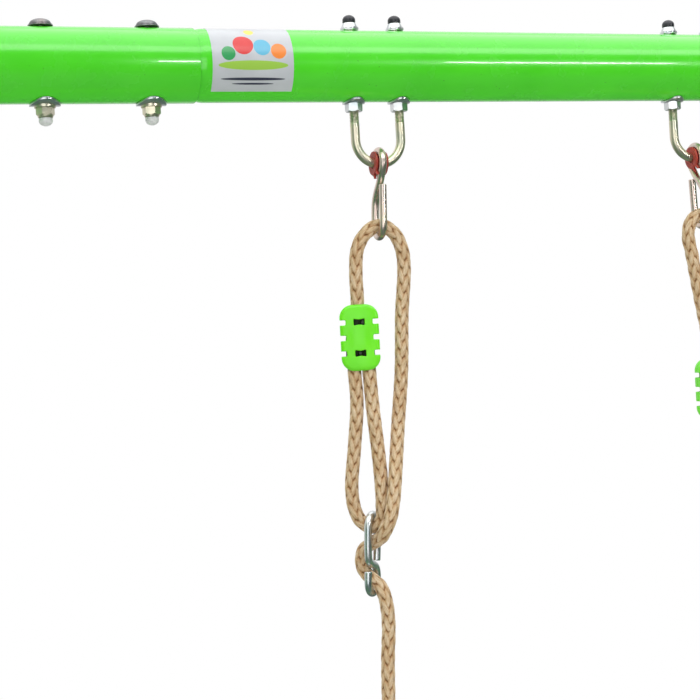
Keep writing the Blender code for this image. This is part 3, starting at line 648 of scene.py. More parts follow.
def piece(name, mesh, finish, body, nodes=(), sharp=35):
    """One visible piece: its mesh, finish and body, and the CAD nodes that it stands for."""
    mesh.materials.clear()
    mesh.materials.append(FINISHES[finish])
    mesh.shade_smooth()
    if sharp:
        mesh.set_sharp_from_angle(angle=math.radians(sharp))
    mesh.name = name
    obj = bpy.data.objects.new(name, mesh)
    bpy.context.scene.collection.objects.link(obj)
    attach(obj, body)
    if nodes:
        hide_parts(*nodes)
    return obj


def at_beam(x=0.0, y=0.0):
    return Matrix.Translation((x, y, BEAM_HEIGHT))


def along_x(x=0.0, y=0.0, z=BEAM_HEIGHT):
    """Local +Z turned to point along +X."""
    return Matrix.Translation((x, y, z)) @ Matrix.Rotation(math.radians(90), 4, "Y")


def along_leg(side):
    """Local Z along a right-hand leg, from the beam's axis; side is +1 behind, -1 in front."""
    return at_beam(LEG_X) @ Matrix.Rotation(side * LEG_ANGLE, 4, "X")


def across_leg(side, distance):
    return along_x(*(along_leg(side) @ Vector((0, 0, -distance))))


def leaning(x, drop, tilt):
    """Upright at the beam, turned about the Y axis through a point below it."""
    below = Matrix.Translation((0, 0, -drop))
    return at_beam(x) @ below @ Matrix.Rotation(tilt, 4, "Y") @ below.inverted()


def hanger_frame(sign):
    return leaning(sign * HANGER_X, U_CENTRE_DROP, -sign * HANGER_TILT)


MIRROR = Matrix.Diagonal((-1, 1, 1, 1))
HANDS = (("right", 1, Matrix()), ("left", -1, MIRROR))
LEGS = (("front", -1), ("rear", 1))


# ---------------------------------------------------------------- frame

def make_beam():
    swage = STUB_RADIUS - TUBE_WALL - GAP
    end = SEAM_X + SWAGE_LENGTH
    half = [(swage, SEAM_X)]
    for i in range(1, 9):
        lift = math.sin(i / 8 * math.pi / 2)
        half.append((swage + (BEAM_RADIUS - swage) * lift, SEAM_X - SHOULDER * i / 8))
    half += [(BEAM_RADIUS, 0.28), (BEAM_RADIUS, 0.20), (BEAM_RADIUS, 0.10)]
    outer = [(swage, end)] + half + [(r, -h) for r, h in reversed(half)] + [(swage, -end)]
    inner = [(swage - TUBE_WALL, -end), (swage - TUBE_WALL, -SEAM_X)]
    inner += [(BEAM_RADIUS - TUBE_WALL, SHOULDER - SEAM_X)]
    inner += [(r, -h) for r, h in reversed(inner)]
    tube = turned(outer + inner, BEAM_SIDES, along_x(), closed=True)
    piece("beam_tube", tube, "frame_coat", "frame", ["beam"], 30)


def weld_bead(side):
    """The ripple of weld where a spigot meets the beam's stub."""
    radius = LEG_RADIUS - TUBE_WALL - GAP
    place = along_leg(side)
    path = []
    count = 120
    for i in range(count + 1):
        turn = math.tau * i / count
        out = radius * math.sin(turn)
        path.append(place @ Vector((radius * math.cos(turn), out, -math.sqrt(STUB_RADIUS ** 2 - out ** 2))))

    def ripple(distance, turn):
        return 0.35 * MM * np.sin(math.tau * distance / (3.2 * MM)), None

    return swept(path, 2.6 * MM, step=0.8 * MM, sides=12, relief=ripple)


def make_heads():
    wall = STUB_RADIUS - TUBE_WALL
    end = STUB_END_X - 8 * MM
    outer = dome(STUB_RADIUS, 8 * MM, end, 12) + [(STUB_RADIUS, 0.6), (STUB_RADIUS, 0.45)]
    outer += [(STUB_RADIUS, SEAM_X + 0.5 * MM), (STUB_RADIUS - 0.15 * MM, SEAM_X + 0.12 * MM)]
    outer += [(STUB_RADIUS - 0.5 * MM, SEAM_X), (wall, SEAM_X), (wall, end), (0, end)]
    radius = LEG_RADIUS - TUBE_WALL - GAP
    spigot = rounded([(radius, -STUB_RADIUS * 0.6), (radius, -SPIGOT_END, MM),
                      (radius - 2.5 * MM, -SPIGOT_END), (radius - 2.5 * MM, -STUB_RADIUS * 0.6)])
    for hand, _, mirror in HANDS:
        shapes = [turned(outer, BEAM_SIDES, along_x())]
        for _, side in LEGS:
            shapes.append(turned(spigot, 64, along_leg(side), closed=True))
        head = placed(join(*shapes), mirror)
        beads = [placed(weld_bead(side), mirror) for _, side in LEGS]
        piece(f"{hand}_frame_head", merged(head, *beads), "frame_coat", "frame", [f"{hand}_head"], 40)


def make_legs():
    ground = BEAM_HEIGHT / math.cos(LEG_ANGLE)
    low = -(ground - FOOT_SOLE)
    tube = rounded([(LEG_RADIUS, -LEG_START, 0.5 * MM), (LEG_RADIUS, low, 0.5 * MM),
                    (LEG_RADIUS - TUBE_WALL, low, 0.3 * MM), (LEG_RADIUS - TUBE_WALL, -LEG_START, 0.3 * MM)])
    for place, side in LEGS:
        leg = turned(tube, LEG_SIDES, along_leg(side), closed=True)
        for hand, _, mirror in HANDS:
            name = f"{hand}_{place}_leg"
            piece(f"{name}_tube", placed(leg, mirror), "frame_coat", "frame", [name])


def make_feet():
    """Moulded shoes: a ribbed sleeve with a lip, flared into a round base with a grooved edge."""
    ground = BEAM_HEIGHT / math.cos(LEG_ANGLE)
    spread = BEAM_HEIGHT * math.tan(LEG_ANGLE)
    for place, side in LEGS:
        foot = turned(rounded(in_mm(FOOT_BASE)), LEG_SIDES, Matrix.Translation((LEG_X, spread * side, 0)))
        top = -(ground - FOOT_SLEEVE)
        sleeve = [(0, top), (28.2 * MM, top, MM), (30.2 * MM, top - 2 * MM, MM)]
        sleeve += [(30.2 * MM, top - 6 * MM, MM), (28.6 * MM, top - 8 * MM, MM)]
        sleeve += [(29 * MM, -ground + 0.03), (38 * MM, -ground - 0.01), (0, -ground - 0.01)]
        shapes = [turned(rounded(sleeve), LEG_SIDES, along_leg(side))]
        for i in range(FOOT_RIBS):
            turn = Matrix.Rotation(math.tau * (i + 0.5) / FOOT_RIBS, 4, "Z")
            shapes.append(block(FOOT_RIB_SIZE, (29.2 * MM, 0, top - 42 * MM), along_leg(side) @ turn))
        below_ground = block((0.3, 0.3, 0.1), (LEG_X, spread * side, -0.05))
        bore = rod(LEG_RADIUS + GAP, -ground + FOOT_SOLE - GAP, 0.1 - ground, LEG_SIDES, along_leg(side))
        foot = cut(join(foot, *shapes), below_ground, bore)
        foot = moulded(foot, 1.1 * MM, 3)
        for vertex in foot.vertices:
            if vertex.co.z < 0.8 * MM:
                vertex.co.z = 0
        for hand, _, mirror in HANDS:
            name = f"{hand}_{place}_foot"
            piece(f"{name}_shoe", placed(foot, mirror), "foot_rubber", "frame", [name], 0)


def make_braces():
    """Round tube, pressed flat at both ends."""
    reach = (BEAM_HEIGHT - BRACE_HEIGHT) * math.tan(LEG_ANGLE)
    plate_x = LEG_X - LEG_RADIUS - GAP - BRACE_PLATE / 2
    end, flat, round_at = reach + 22 * MM, reach - 34 * MM, reach - 92 * MM
    bm = bmesh.new()
    stations = [end, end - 0.8 * MM, end - 3 * MM]
    stations += [end - 3 * MM - i * (end - flat) / 6 for i in range(1, 6)]
    stations += [flat + (round_at - flat) * i / 14 for i in range(15)] + [round_at * 0.5]
    stations = [-y for y in stations] + [0] + stations[::-1]
    rings = []
    for y in stations:
        share = min(1, max(0, (flat - abs(y)) / (flat - round_at)))
        share = share * share * (3 - 2 * share)
        rim = max(0.0, (abs(y) - end + 3 * MM) / (3 * MM))
        pinch = math.sqrt(max(0.0, 1 - (0.75 * rim) ** 2))
        half_x = (BRACE_PLATE / 2 * (1 - share) + BRACE_RADIUS * share) * (1 - 0.3 * rim ** 2)
        half_z = (22 * MM * (1 - share) + BRACE_RADIUS * share) * pinch
        power = 0.3 + 0.7 * share
        ring = []
        for i in range(BRACE_SIDES):
            c, s = math.cos(math.tau * i / BRACE_SIDES), math.sin(math.tau * i / BRACE_SIDES)
            x = math.copysign(abs(c) ** power, c) * half_x
            z = math.copysign(abs(s) ** (0.6 + 0.4 * share), s) * half_z
            ring.append(bm.verts.new((plate_x + x, y, BRACE_HEIGHT + z)))
        rings.append(ring)
    for low, high in zip(rings, rings[1:]):
        for i in range(BRACE_SIDES):
            bm.faces.new((low[i], low[i - 1], high[i - 1], high[i]))
    bm.faces.new(rings[0])
    bm.faces.new(rings[-1])
    brace = finished(bm)
    for hand, _, mirror in HANDS:
        piece(f"{hand}_cross_brace", placed(brace, mirror), "frame_coat", "frame", [f"{hand}_brace"], 40)


# ---------------------------------------------------------------- fasteners

def threaded(radius, low, high, place=None):
    """A length of thread with a chamfered tip at its low end."""
    def ridge(distance, turn):
        phase = (distance / THREAD_PITCH - turn / math.tau) % 1
        return 0.55 * MM * (np.abs(phase * 2 - 1) - 0.9), None

    path = [Vector((0, 0, low + (high - low) * i / 40)) for i in range(41)]
    mesh = swept(path, radius, step=0.2 * MM, sides=20, relief=ridge)
    if place is not None:
        mesh.transform(place)
    return mesh


def mushroom(seat, radius, height, washer):
    """A domed bolt head with a narrow rim, on a washer."""
    head = dome(radius - 0.6 * MM, height - 1.4 * MM, seat + 1.2 * MM + 1.4 * MM, 12)
    head += rounded([(radius - 0.6 * MM, seat + 2.6 * MM), (radius, seat + 2.4 * MM, 0.4 * MM),
                     (radius, seat + 1.3 * MM, 0.3 * MM)])[1:]
    head += rounded([(radius - MM, seat + 1.25 * MM), (washer, seat + 1.2 * MM, 0.4 * MM),
                     (washer, seat, 0.3 * MM), (BOLT_RADIUS, seat)])[:-1]
    return turned(head + [(BOLT_RADIUS, seat), (BOLT_RADIUS, -seat), (0, -seat)], 48)


def lock_nut(low, high):
    """A hexagon nut whose far end narrows to a round collar; low is the collar's end."""
    collar = rounded([(0, low + 2.4 * MM), (6.5 * MM, low + 2.4 * MM), (5.9 * MM, low, 0.7 * MM), (0, low)])
    return join(hexagon(NUT_RADIUS, low + 1.8 * MM, high), turned(collar, 48))


def tapered_nut(low, high):
    """A hexagon nut with a long cone above it."""
    cone = rounded([(0, high), (5.3 * MM, high, 0.7 * MM), (7.2 * MM, low + 2.2 * MM),
                    (7.2 * MM, low + MM), (0, low + MM)])
    return join(hexagon(NUT_RADIUS + 0.3 * MM, low, low + 3 * MM), turned(cone, 48))


def saddle(tube_radius, size, thickness):
    """An oval washer bent to sit on the underside of a tube."""
    inner = tube_radius + GAP
    plate = rod(1, -inner - thickness - 4 * MM, -0.5 * tube_radius, 96, Matrix.Diagonal((*size, 1, 1)))
    shell = turned([(inner + thickness, 0.02), (inner + thickness, -0.02), (inner, -0.02), (inner, 0.02)],
                   160, along_x(z=0), closed=True)
    plate = combine(plate, "INTERSECT", [shell])
    return softened(cut(plate, rod(BOLT_RADIUS + 0.4 * MM, -0.06, 0, 48)), 0.25 * MM, 2, 50)


def cap(base, count=12):
    profile = dome(CAP_RADIUS, 4.4 * MM, base + 2 * MM, count)
    profile += rounded([(CAP_RADIUS, base + 2 * MM), (CAP_RADIUS, base, 0.3 * MM), (4.3 * MM, base),
                        (4.3 * MM, base + 4 * MM)])[1:]
    return turned(profile + [(0, base + 4 * MM)], 48)


def make_joint_bolts():
    """Upright bolts through both tubes: domed head and washer above; saddle, lock nut and white cap below."""
    seat = STUB_RADIUS + GAP
    foot = seat + WASHER + JOINT_NUT_HEIGHT
    bolt = mushroom(seat, 9 * MM, 5 * MM, 10 * MM)
    bolt = merged(bolt, threaded(BOLT_RADIUS, -foot - 3.5 * MM, -seat))
    washer = saddle(STUB_RADIUS, JOINT_SADDLE_SIZE, WASHER)
    flange = turned(rounded([(8.5 * MM, -seat - 0.6 * MM), (8.5 * MM, -seat - 3.1 * MM, 0.5 * MM),
                             (4.4 * MM, -seat - 3.1 * MM), (4.4 * MM, -seat - 0.6 * MM)]), 64, closed=True)
    nut = lock_nut(-foot, -seat - WASHER)
    white_cap = placed(cap(foot + GAP), Matrix.Rotation(math.pi, 4, "X"))
    for hand, sign, _ in HANDS:
        for place, x in JOINT_BOLTS_X.items():
            name = f"{hand}_{place}_joint"
            spot = at_beam(sign * x)
            turn = spot @ Matrix.Rotation(math.radians(11 if place == "inner" else 34), 4, "Z")
            piece(f"{name}_bolt_head", placed(bolt, turn), "dull_zinc", "frame", [f"{name}_bolt"])
            piece(f"{name}_saddle", placed(washer, spot), "zinc", "frame")
            piece(f"{name}_lock_nut", placed(merged(nut, flange), turn), "yellow_zinc", "frame",
                  [f"{name}_nut"])
            piece(f"{name}_dome_cap", placed(white_cap, spot), "white_plastic", "frame", [f"{name}_cap"])


def make_u_bolts():
    top = BEAM_RADIUS + GAP
    end = top + NUT_HEIGHT + 3.5 * MM
    bend = arc(0, -U_CENTRE_DROP / MM, U_RADIUS / MM, 180, 360, 5)
    path = [(-U_RADIUS / MM, end / MM)] + bend + [(U_RADIUS / MM, end / MM)]
    leg = end + U_CENTRE_DROP
    total = 2 * leg + math.pi * U_RADIUS
    thread_from, thread_to = end + 0.035, end + 0.049

    def thread(distance, turn):
        near = np.minimum(distance, total - distance)
        phase = (near / THREAD_PITCH - turn / math.tau) % 1
        shown = np.clip((thread_to - near) / MM, 0, 1) * np.clip((near - thread_from) / MM, 0, 1)
        return 0.5 * MM * (np.abs(phase * 2 - 1) - 0.85) * shown, None

    half = np.concatenate([np.linspace(5 * MM, thread_from, 8)[:-1],
                           np.arange(thread_from, thread_to, 0.16 * MM),
                           np.linspace(thread_to + 0.5 * MM, leg, 6)[:-1],
                           np.linspace(leg, total / 2, 26)[:-1]])
    stations = np.concatenate([half, [total / 2], total - half[::-1]])
    nut = tapered_nut(top, top + NUT_HEIGHT)
    washer = saddle(BEAM_RADIUS, SADDLE_SIZE, WASHER)
    lower = hexagon(NUT_RADIUS, -(top + WASHER + NUT_HEIGHT), -(top + WASHER * 0.6))
    black_cap = cap(top + NUT_HEIGHT + GAP)
    for hand, sign, _ in HANDS:
        spot = at_beam(sign * HANGER_X)
        points = [spot @ Vector((across * MM, 0, height * MM)) for across, height in path]
        bolt = swept(points, BOLT_RADIUS, stations, sides=28, relief=thread)
        piece(f"{hand}_u_bolt_wire", bolt, "yellow_zinc", "frame", [f"{hand}_u_bolt"], 50)
        for place, half_sign, twist in (("outer", sign, 8), ("inner", -sign, 2)):
            name = f"{hand}_{place}"
            here = at_beam(sign * HANGER_X + half_sign * U_RADIUS)
            turn = here @ Matrix.Rotation(math.radians(twist), 4, "Z")
            piece(f"{name}_upper_nut", placed(nut, turn), "zinc", "frame", [f"{name}_top_nut"])
            piece(f"{name}_upper_cap", placed(black_cap, here), "black_plastic", "frame", [f"{name}_top_cap"])
            piece(f"{name}_hex_nut", placed(lower, turn), "zinc", "frame", [f"{name}_lower_nut"])
            piece(f"{name}_saddle", placed(washer, here), "zinc", "frame")


def make_frame_bolts():
    """Bolts across each leg: at the head's spigot, and through the flattened ends of the brace."""
    brace_at = (BEAM_HEIGHT - BRACE_HEIGHT) / math.cos(LEG_ANGLE)
    outside = LEG_RADIUS + GAP
    inside = -(LEG_RADIUS + GAP * 2 + BRACE_PLATE)
    for place, side in LEGS:
        for kind, distance, bottom in (("leg", LEG_BOLT_AT, -outside), ("brace", brace_at, inside)):
            head = turned(dome(8 * MM, 4 * MM, outside + MM, 12)
                          + rounded([(8 * MM, outside + MM), (9 * MM, outside + MM, 0.3 * MM),
                                     (9 * MM, outside, 0.3 * MM), (BOLT_RADIUS, outside)])[1:]
                          + [(BOLT_RADIUS, bottom), (0, bottom)], 48)
            washer = rod(9 * MM, bottom - WASHER, bottom, 48, edge=0.4 * MM)
            nut = hexagon(NUT_RADIUS, bottom - WASHER - NUT_HEIGHT, bottom - WASHER)
            shank = threaded(BOLT_RADIUS, bottom - 12 * MM, bottom)
            bolt = merged(head, washer, nut, shank)
            bolt.transform(across_leg(side, distance))
            for hand, _, mirror in HANDS:
                name = f"{hand}_{place}_{kind}_bolt"
                piece(f"{name}_set", placed(bolt, mirror), "zinc", "frame", [name])


def make_label():
    """A thin printed film, wrapped round the front of the beam beside the joint."""
    left, right = LABEL_ENDS_X
    low, high = LABEL_TURNS
    columns, rows = 40, 60
    bm = bmesh.new()
    lay = bm.loops.layers.uv.new("lay")
    layers = []
    for radius in (BEAM_RADIUS + 0.22 * MM, BEAM_RADIUS + 0.02 * MM):
        grid = []
        for i in range(rows + 1):
            turn = low + (high - low) * i / rows
            y, z = -radius * math.cos(turn), BEAM_HEIGHT + radius * math.sin(turn)
            places = [left + (right - left) * j / columns for j in range(columns + 1)]
            grid.append([bm.verts.new((x, y, z)) for x in places])
        layers.append(grid)
    place = {v: (j / columns, i / rows)
             for grid in layers for i, row in enumerate(grid) for j, v in enumerate(row)}
    for grid in layers:
        for low_row, high_row in zip(grid, grid[1:]):
            for j in range(columns):
                bm.faces.new((low_row[j], low_row[j + 1], high_row[j + 1], high_row[j]))
    rims = [[(grid[0][j]) for j in range(columns + 1)] + [grid[i][-1] for i in range(1, rows + 1)]
            + [grid[-1][j] for j in range(columns - 1, -1, -1)] + [grid[i][0] for i in range(rows - 1, 0, -1)]
            for grid in layers]
    for i in range(len(rims[0])):
        bm.faces.new((rims[0][i - 1], rims[0][i], rims[1][i], rims[1][i - 1]))
    for face in bm.faces:
        for loop in face.loops:
            loop[lay].uv = place[loop.vert]
    piece("beam_label", finished(bm), "label", "frame")


# ---------------------------------------------------------------- swing

def make_bushing(hand, sign):
    """A split plastic spool between the U-bolt and the hook, with the lips of its split turned out."""
    half, flange, groove, bore = 5.6 * MM, 10.2 * MM, 7.0 * MM, 4.3 * MM
    upper = [(bore, half, 0.4 * MM), (flange, half, 0.7 * MM), (flange - 0.1 * MM, half - 1.9 * MM, 0.5 * MM),
             (groove, half - 2.4 * MM, 0.9 * MM)]
    lower = [(groove, 2.4 * MM - half, 0.9 * MM), (flange - 0.1 * MM, 1.9 * MM - half, 0.5 * MM),
             (flange, -half, 0.7 * MM), (bore, -half, 0.4 * MM)]
    profile = rounded(upper + lower)
    place = hanger_frame(sign) @ Matrix.Translation((0, 0, GAP - PIVOT_DROP)) @ along_x(z=0)
    spool = turned(profile, 72, closed=True)
    split = Matrix.Rotation(math.radians(-28), 4, "Z")
    lips = [block((4.6 * MM, 1.3 * MM, 2.0 * MM), (flange + 1.2 * MM, edge * 1.3 * MM, 1.2 * MM - half),
                  split @ Matrix.Rotation(edge * math.radians(8), 4, "Z")) for edge in (-1, 1)]
    spool = cut(join(spool, *lips), block((12 * MM, 0.8 * MM, 4 * half), (8 * MM, 0, 0), split))
    spool = softened(spool, 0.2 * MM, 2, 50)
    spool.transform(place)
    piece(f"{hand}_spool", spool, "red_plastic", "swing", [f"{hand}_bushing"])


def bent_wire(shape, radius, place):
    path = []
    for item in shape:
        path += arc(*item) if len(item) == 5 else [item]
    corners = [place @ Vector((0, across * MM, height * MM)) for across, height in path]
    return swept(smooth_curve(corners, FINE_STEP), radius, step=FINE_STEP, sides=24, tip=0.8 * MM)


def knot_path(centre):
    """An overhand knot seen from above, with the rope coming in from above and its tail hanging below."""
    wide, tall = 4.4 * MM, 5.0 * MM
    points = [centre + Vector((0, 0, 17 * MM)), centre + Vector((0, -1 * MM, 11 * MM))]
    count = 34
    for i in range(3, count - 2):
        t = math.tau * i / count
        points.append(centre + Vector((wide * (math.sin(t) + 2 * math.sin(2 * t)),
                                       wide * (math.cos(t) - 2 * math.cos(2 * t)), -tall * math.sin(3 * t))))
    points += [centre + Vector((0, MM, -12 * MM)), centre + Vector((MM, 0, -26 * MM))]
    return smooth_curve(points, MM)


def clamp_frame(centre, turn):
    middle = Vector(centre) * MM + Vector((0, 0, BEAM_HEIGHT))
    return Matrix.Translation(middle) @ Matrix.Rotation(turn, 4, "Z")


def make_clamp(hand, points, centre, turn):
    """Two moulded half shells round the rope's end and its running part, notched at the sides."""
    place = clamp_frame(centre, turn)
    width, thickness, height = CLAMP_SIZE
    depth_half = thickness / 2
    local = [place.inverted() @ p for p in points]
    runs = []
    for i, p in enumerate(local):
        if abs(p.z) < height * 0.62 and abs(p.x) < 20 * MM:
            if not runs or i != runs[-1][-1] + 1:
                runs.append([])
            runs[-1].append(i)
    channels = [swept([local[i] for i in run[::4] + run[-1:]], CHANNEL_RADIUS, step=3 * MM, sides=24)
                for run in runs]
    shell = slab(width, height, thickness, CLAMP_CORNER, 2.6 * MM)
    shell.transform(Matrix.Rotation(math.radians(90), 4, "X"))
    notches = [block((10 * MM, 0.05, 4.4 * MM), (side * width / 2, 0, level))
               for side in (-1, 1) for level in (-NOTCH_PITCH, 0, NOTCH_PITCH)]
    bow = [(-4.6, -3.0), (-2.4, -2.35), (0, -2.1), (2.4, -2.35), (4.6, -3.0),
           (4.6, 3.0), (2.4, 2.35), (0, 2.1), (-2.4, 2.35), (-4.6, 3.0)]
    windows = []
    for level in (-NOTCH_PITCH, NOTCH_PITCH):
        bm = bmesh.new()
        rings = [[bm.verts.new((x * MM, y, level + z * MM)) for x, z in bow]
                 for y in (-thickness, -0.2 * thickness)]
        bm.faces.new(rings[0])
        bm.faces.new(rings[1])
        for i in range(len(bow)):
            bm.faces.new((rings[0][i - 1], rings[0][i], rings[1][i], rings[1][i - 1]))
        windows.append(finished(bm))
    for part, side, extra in (("front", -1, windows), ("back", 1, [])):
        keep = block((0.1, 0.1, 0.1), (0, side * (0.05 + 0.1 * MM), 0))
        half = combine(shell.copy(), "INTERSECT", [keep])
        half = cut(half, *notches, *channels, *extra)
        half = moulded(half, 0.5 * MM, 3)
        for vertex in half.vertices:
            x, y, z = vertex.co
            outer = limited((side * y - 4 * MM) / (4 * MM))
            crown = 1 - 0.20 * (2 * x / width) ** 2 - 0.16 * (2 * z / height) ** 4
            panel = math.exp(-(x / (7.5 * MM)) ** 4 - (z / (9.5 * MM)) ** 4)
            vertex.co.y = y * (1 - outer + outer * crown) + side * outer * 0.7 * MM * panel

        def depth(co):
            """Painted shade: below the outer skin, and in from the rim of the rounded outline."""
            crown = 1 - 0.20 * (2 * co.x / width) ** 2 - 0.16 * (2 * co.z / height) ** 4
            below = (depth_half * crown - side * co.y - 1.2 * MM) / (1.5 * MM)
            x, z = abs(co.x) - width / 2 + CLAMP_CORNER, abs(co.z) - height / 2 + CLAMP_CORNER
            inset = CLAMP_CORNER - math.hypot(max(x, 0), max(z, 0)) - min(max(x, z), 0)
            return limited(below) * limited((inset - MM) / (1.2 * MM))

        # Painted shade inside the shells' channels and windows, stored on the mesh.
        store_painted_shade(half, depth)
        half.transform(place)
        piece(f"{hand}_clamp_{part}_shell", half, "green_plastic", "swing", [f"{hand}_clamp_{part}"], 0)


def make_seat():
    """A moulded board: dished and grooved on top, hollow below, with a boss round each rope hole."""
    length, width, thickness = SEAT_SIZE
    seat = slab(length, width, thickness, 40 * MM, 8 * MM)
    holes = [rod(SEAT_HOLE_RADIUS, -0.05, 0.05, 40, Matrix.Translation((x, 0, 0)))
             for x in (-SEAT_HALF_PITCH, SEAT_HALF_PITCH)]
    seat = cut(seat, *holes)
    seat = moulded(seat, 1.7 * MM, 4)
    for vertex in seat.vertices:
        x, y, z = vertex.co
        to_hole = min(math.hypot(x - SEAT_HALF_PITCH, y), math.hypot(x + SEAT_HALF_PITCH, y))
        inside = limited((1 - abs(2 * y / width) ** 6 - abs(2 * x / length) ** 10) * 1.6)
        clear = limited((to_hole - 11 * MM) / (6 * MM))
        share = inside * clear
        if z > 0:
            field = limited((0.150 - abs(x)) / (8 * MM)) * limited((0.062 - abs(y)) / (5 * MM))
            groove = (0.5 + 0.5 * math.cos(math.tau * y / SEAT_GROOVE_PITCH)) ** 3
            vertex.co.z -= share * (2.6 * MM * (1 - (2 * y / width) ** 2) + 1.1 * MM * groove * field)
        else:
            vertex.co.z += share * 7 * MM
    seat.transform(Matrix.Translation((0, 0, SEAT_TOP - thickness / 2)))
    piece("seat_board", seat, "green_plastic", "swing", ["seat"], 0)


def make_swing():
    for hand, (sign, route, length, clamp_at, clamp_turn, adjuster_x, adjuster_turn) in SIDES.items():
        make_bushing(hand, sign)
        flip = Matrix.Rotation(math.pi if sign > 0 else 0, 4, "Z")
        hook = bent_wire(HOOK_SHAPE, HOOK_WIRE, hanger_frame(sign) @ flip)
        piece(f"{hand}_s_hook", hook, "pink_zinc", "swing", [f"{hand}_hook"], 0)
        stand = leaning(adjuster_x * MM, ADJUSTER_DROP, -sign * ADJUSTER_TILT)
        wire = bent_wire(ADJUSTER_SHAPE, HOOK_WIRE, stand @ Matrix.Rotation(adjuster_turn, 4, "Z"))
        adjuster = piece(f"{hand}_slide_adjuster", wire, "zinc", "swing", [f"{hand}_adjuster"], 0)
        points = smooth_curve([Vector(p) * MM + Vector((0, 0, BEAM_HEIGHT)) for p in route], MM)
        make_clamp(hand, points, clamp_at, clamp_turn)
        knot_at = points[-1] + Vector((0, 0, 0.5 * MM))
        knot = swept(knot_path(knot_at), ROPE_RADIUS, step=FINE_STEP, sides=ROPE_SIDES, relief=braid)
        knot = piece(f"{hand}_stopper_knot", knot, "rope", "swing", (), 0)
        rope = swept(points, ROPE_RADIUS, step=FINE_STEP, sides=ROPE_SIDES, relief=braid)
        inside_clamp = clamp_frame(clamp_at, clamp_turn).inverted()

        def depth(co):
            """Painted shade: 1 inside the clamp's shells, fading out at their ends."""
            near = inside_clamp @ co
            if abs(near.x) > CLAMP_SIZE[0] / 2:
                return 0.0
            return limited((CLAMP_SIZE[2] / 2 + 0.5 * MM - abs(near.z)) / (2.5 * MM))

        store_painted_shade(rope, depth)
        rope = piece(f"{hand}_braided_rope", rope, "rope", "swing", [f"{hand}_rope"], 0)
        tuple(points[0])
    make_seat()


# ---------------------------------------------------------------- studio

def make_floor():
    """A round pale floor that fades into the white surroundings. Glossy paint reflects it as dark ground."""
    floor = turned([(0, 0), (1.6, 0), (2.6, 0), (3.6, 0)], LEG_SIDES, Matrix.Translation((0, 0, -MM)))
    obj = bpy.data.objects.new("studio_floor", floor)
    bpy.context.scene.collection.objects.link(obj)
    s = Surface("studio_floor", Roughness=0.9)
    s.shader.inputs["Base Color"].default_value = (0.86, 0.86, 0.85, 1)
    spread = s.nodes.new("ShaderNodeVectorMath")
    spread.operation = "LENGTH"
    s.links.new(s.place, spread.inputs[0])
    fade = s.nodes.new("ShaderNodeMapRange")
    fade.interpolation_type = "SMOOTHSTEP"
    fade.inputs["From Min"].default_value = 1.3
    fade.inputs["From Max"].default_value = 3.3
    s.links.new(spread.outputs["Value"], fade.inputs["Value"])
    glow = s.nodes.new("ShaderNodeEmission")
    blend = s.nodes.new("ShaderNodeMixShader")
    s.links.new(fade.outputs["Result"], blend.inputs["Fac"])
    s.links.new(s.shader.outputs["BSDF"], blend.inputs[1])
    s.links.new(glow.outputs["Emission"], blend.inputs[2])
    dim = s.nodes.new("ShaderNodeBsdfDiffuse")
    dim.inputs["Color"].default_value = (0.10, 0.14, 0.12, 1)
    mirrored = s.nodes.new("ShaderNodeMixShader")
    s.links.new(s.nodes.new("ShaderNodeLightPath").outputs["Is Glossy Ray"], mirrored.inputs["Fac"])
    s.links.new(blend.outputs["Shader"], mirrored.inputs[1])
    s.links.new(dim.outputs["BSDF"], mirrored.inputs[2])
    s.links.new(mirrored.outputs["Shader"], s.nodes["Material Output"].inputs["Surface"])
    floor.materials.append(s.material)


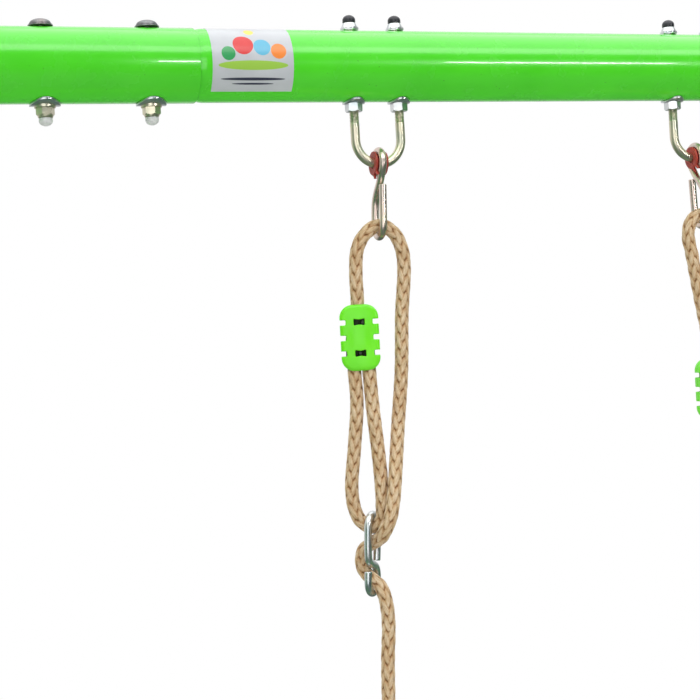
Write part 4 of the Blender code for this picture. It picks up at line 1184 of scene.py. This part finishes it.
def make_world():
    """White to the camera. For light and reflections, bright above and behind, dark below and in front."""
    world = bpy.data.worlds.new("studio")
    bpy.context.scene.world = world
    world.use_nodes = True
    nodes, links = world.node_tree.nodes, world.node_tree.links
    height = nodes.new("ShaderNodeVectorMath")
    height.operation = "DOT_PRODUCT"
    height.inputs[1].default_value = (-0.15, 0.58, 0.80)
    links.new(nodes.new("ShaderNodeTexCoord").outputs["Generated"], height.inputs[0])
    share = nodes.new("ShaderNodeMapRange")
    share.inputs["From Min"].default_value = -1
    links.new(height.outputs["Value"], share.inputs["Value"])
    ramp = nodes.new("ShaderNodeValToRGB")
    stops = [(0.0, (0.02, 0.03, 0.03)), (0.34, (0.04, 0.07, 0.065)), (0.50, (0.22, 0.25, 0.24)),
             (0.66, (0.58, 0.59, 0.58)), (0.82, (0.88, 0.88, 0.88)), (1.0, (1, 1, 1))]
    while len(ramp.color_ramp.elements) < len(stops):
        ramp.color_ramp.elements.new(0.5)
    for element, (position, colour) in zip(ramp.color_ramp.elements, stops):
        element.position = position
        element.color = (*colour, 1)
    links.new(share.outputs["Result"], ramp.inputs["Fac"])
    seen = nodes.new("ShaderNodeLightPath").outputs["Is Camera Ray"]
    pick = nodes.new("ShaderNodeMix")
    pick.data_type = "RGBA"
    links.new(seen, pick.inputs["Factor"])
    links.new(ramp.outputs["Color"], pick.inputs[6])
    pick.inputs[7].default_value = (1, 1, 1, 1)
    links.new(pick.outputs[2], nodes["Background"].inputs["Color"])
    nodes["Background"].inputs["Strength"].default_value = 1.0


def area_light(name, place, target, size, power):
    data = bpy.data.lights.new(name, "AREA")
    data.shape = "RECTANGLE"
    data.size, data.size_y = size
    data.energy = power
    obj = bpy.data.objects.new(name, data)
    obj.location = place
    obj.rotation_euler = (Vector(target) - Vector(place)).to_track_quat("-Z", "Y").to_euler()
    obj.visible_camera = False
    bpy.context.scene.collection.objects.link(obj)


def make_lights():
    beam = (0, 0, BEAM_HEIGHT)
    area_light("overhead", (0.0, -0.35, 3.9), beam, (5.0, 4.0), 72)
    area_light("top_front", (0.0, -1.9, 3.6), beam, (5.0, 0.9), 34)
    area_light("strip", (1.06, -2.10, 1.95), beam, (0.55, 0.10), 8.5)
    area_light("front_fill", (-1.6, -3.4, 1.6), (0, 0, 1.2), (2.4, 2.4), 36)


def make_camera():
    """The view of the left hanger and the beam's joint, from in front and a little below the beam."""
    yaw, pitch, roll = CAMERA_TURNS
    level = math.cos(pitch)
    forward = Vector((math.sin(yaw) * level, math.cos(yaw) * level, math.sin(pitch)))
    right = Vector((math.cos(yaw), -math.sin(yaw), 0))
    up = right.cross(forward)
    turned_right = right * math.cos(roll) + up * math.sin(roll)
    turned_up = up * math.cos(roll) - right * math.sin(roll)
    matrix = Matrix((turned_right, turned_up, -forward)).transposed().to_4x4()
    matrix.translation = CAMERA_PLACE
    data = bpy.data.cameras.new("camera")
    data.sensor_width = 36.0
    data.lens = CAMERA_LENS
    camera = bpy.data.objects.new("camera", data)
    camera.matrix_world = matrix
    bpy.context.scene.collection.objects.link(camera)
    bpy.context.scene.camera = camera


make_camera()
make_swing()
make_beam()
make_heads()
make_legs()
make_feet()
make_braces()
make_joint_bolts()
make_u_bolts()
make_frame_bolts()
make_label()
make_floor()
make_world()
make_lights()
bpy.context.scene.view_settings.view_transform = "Standard"
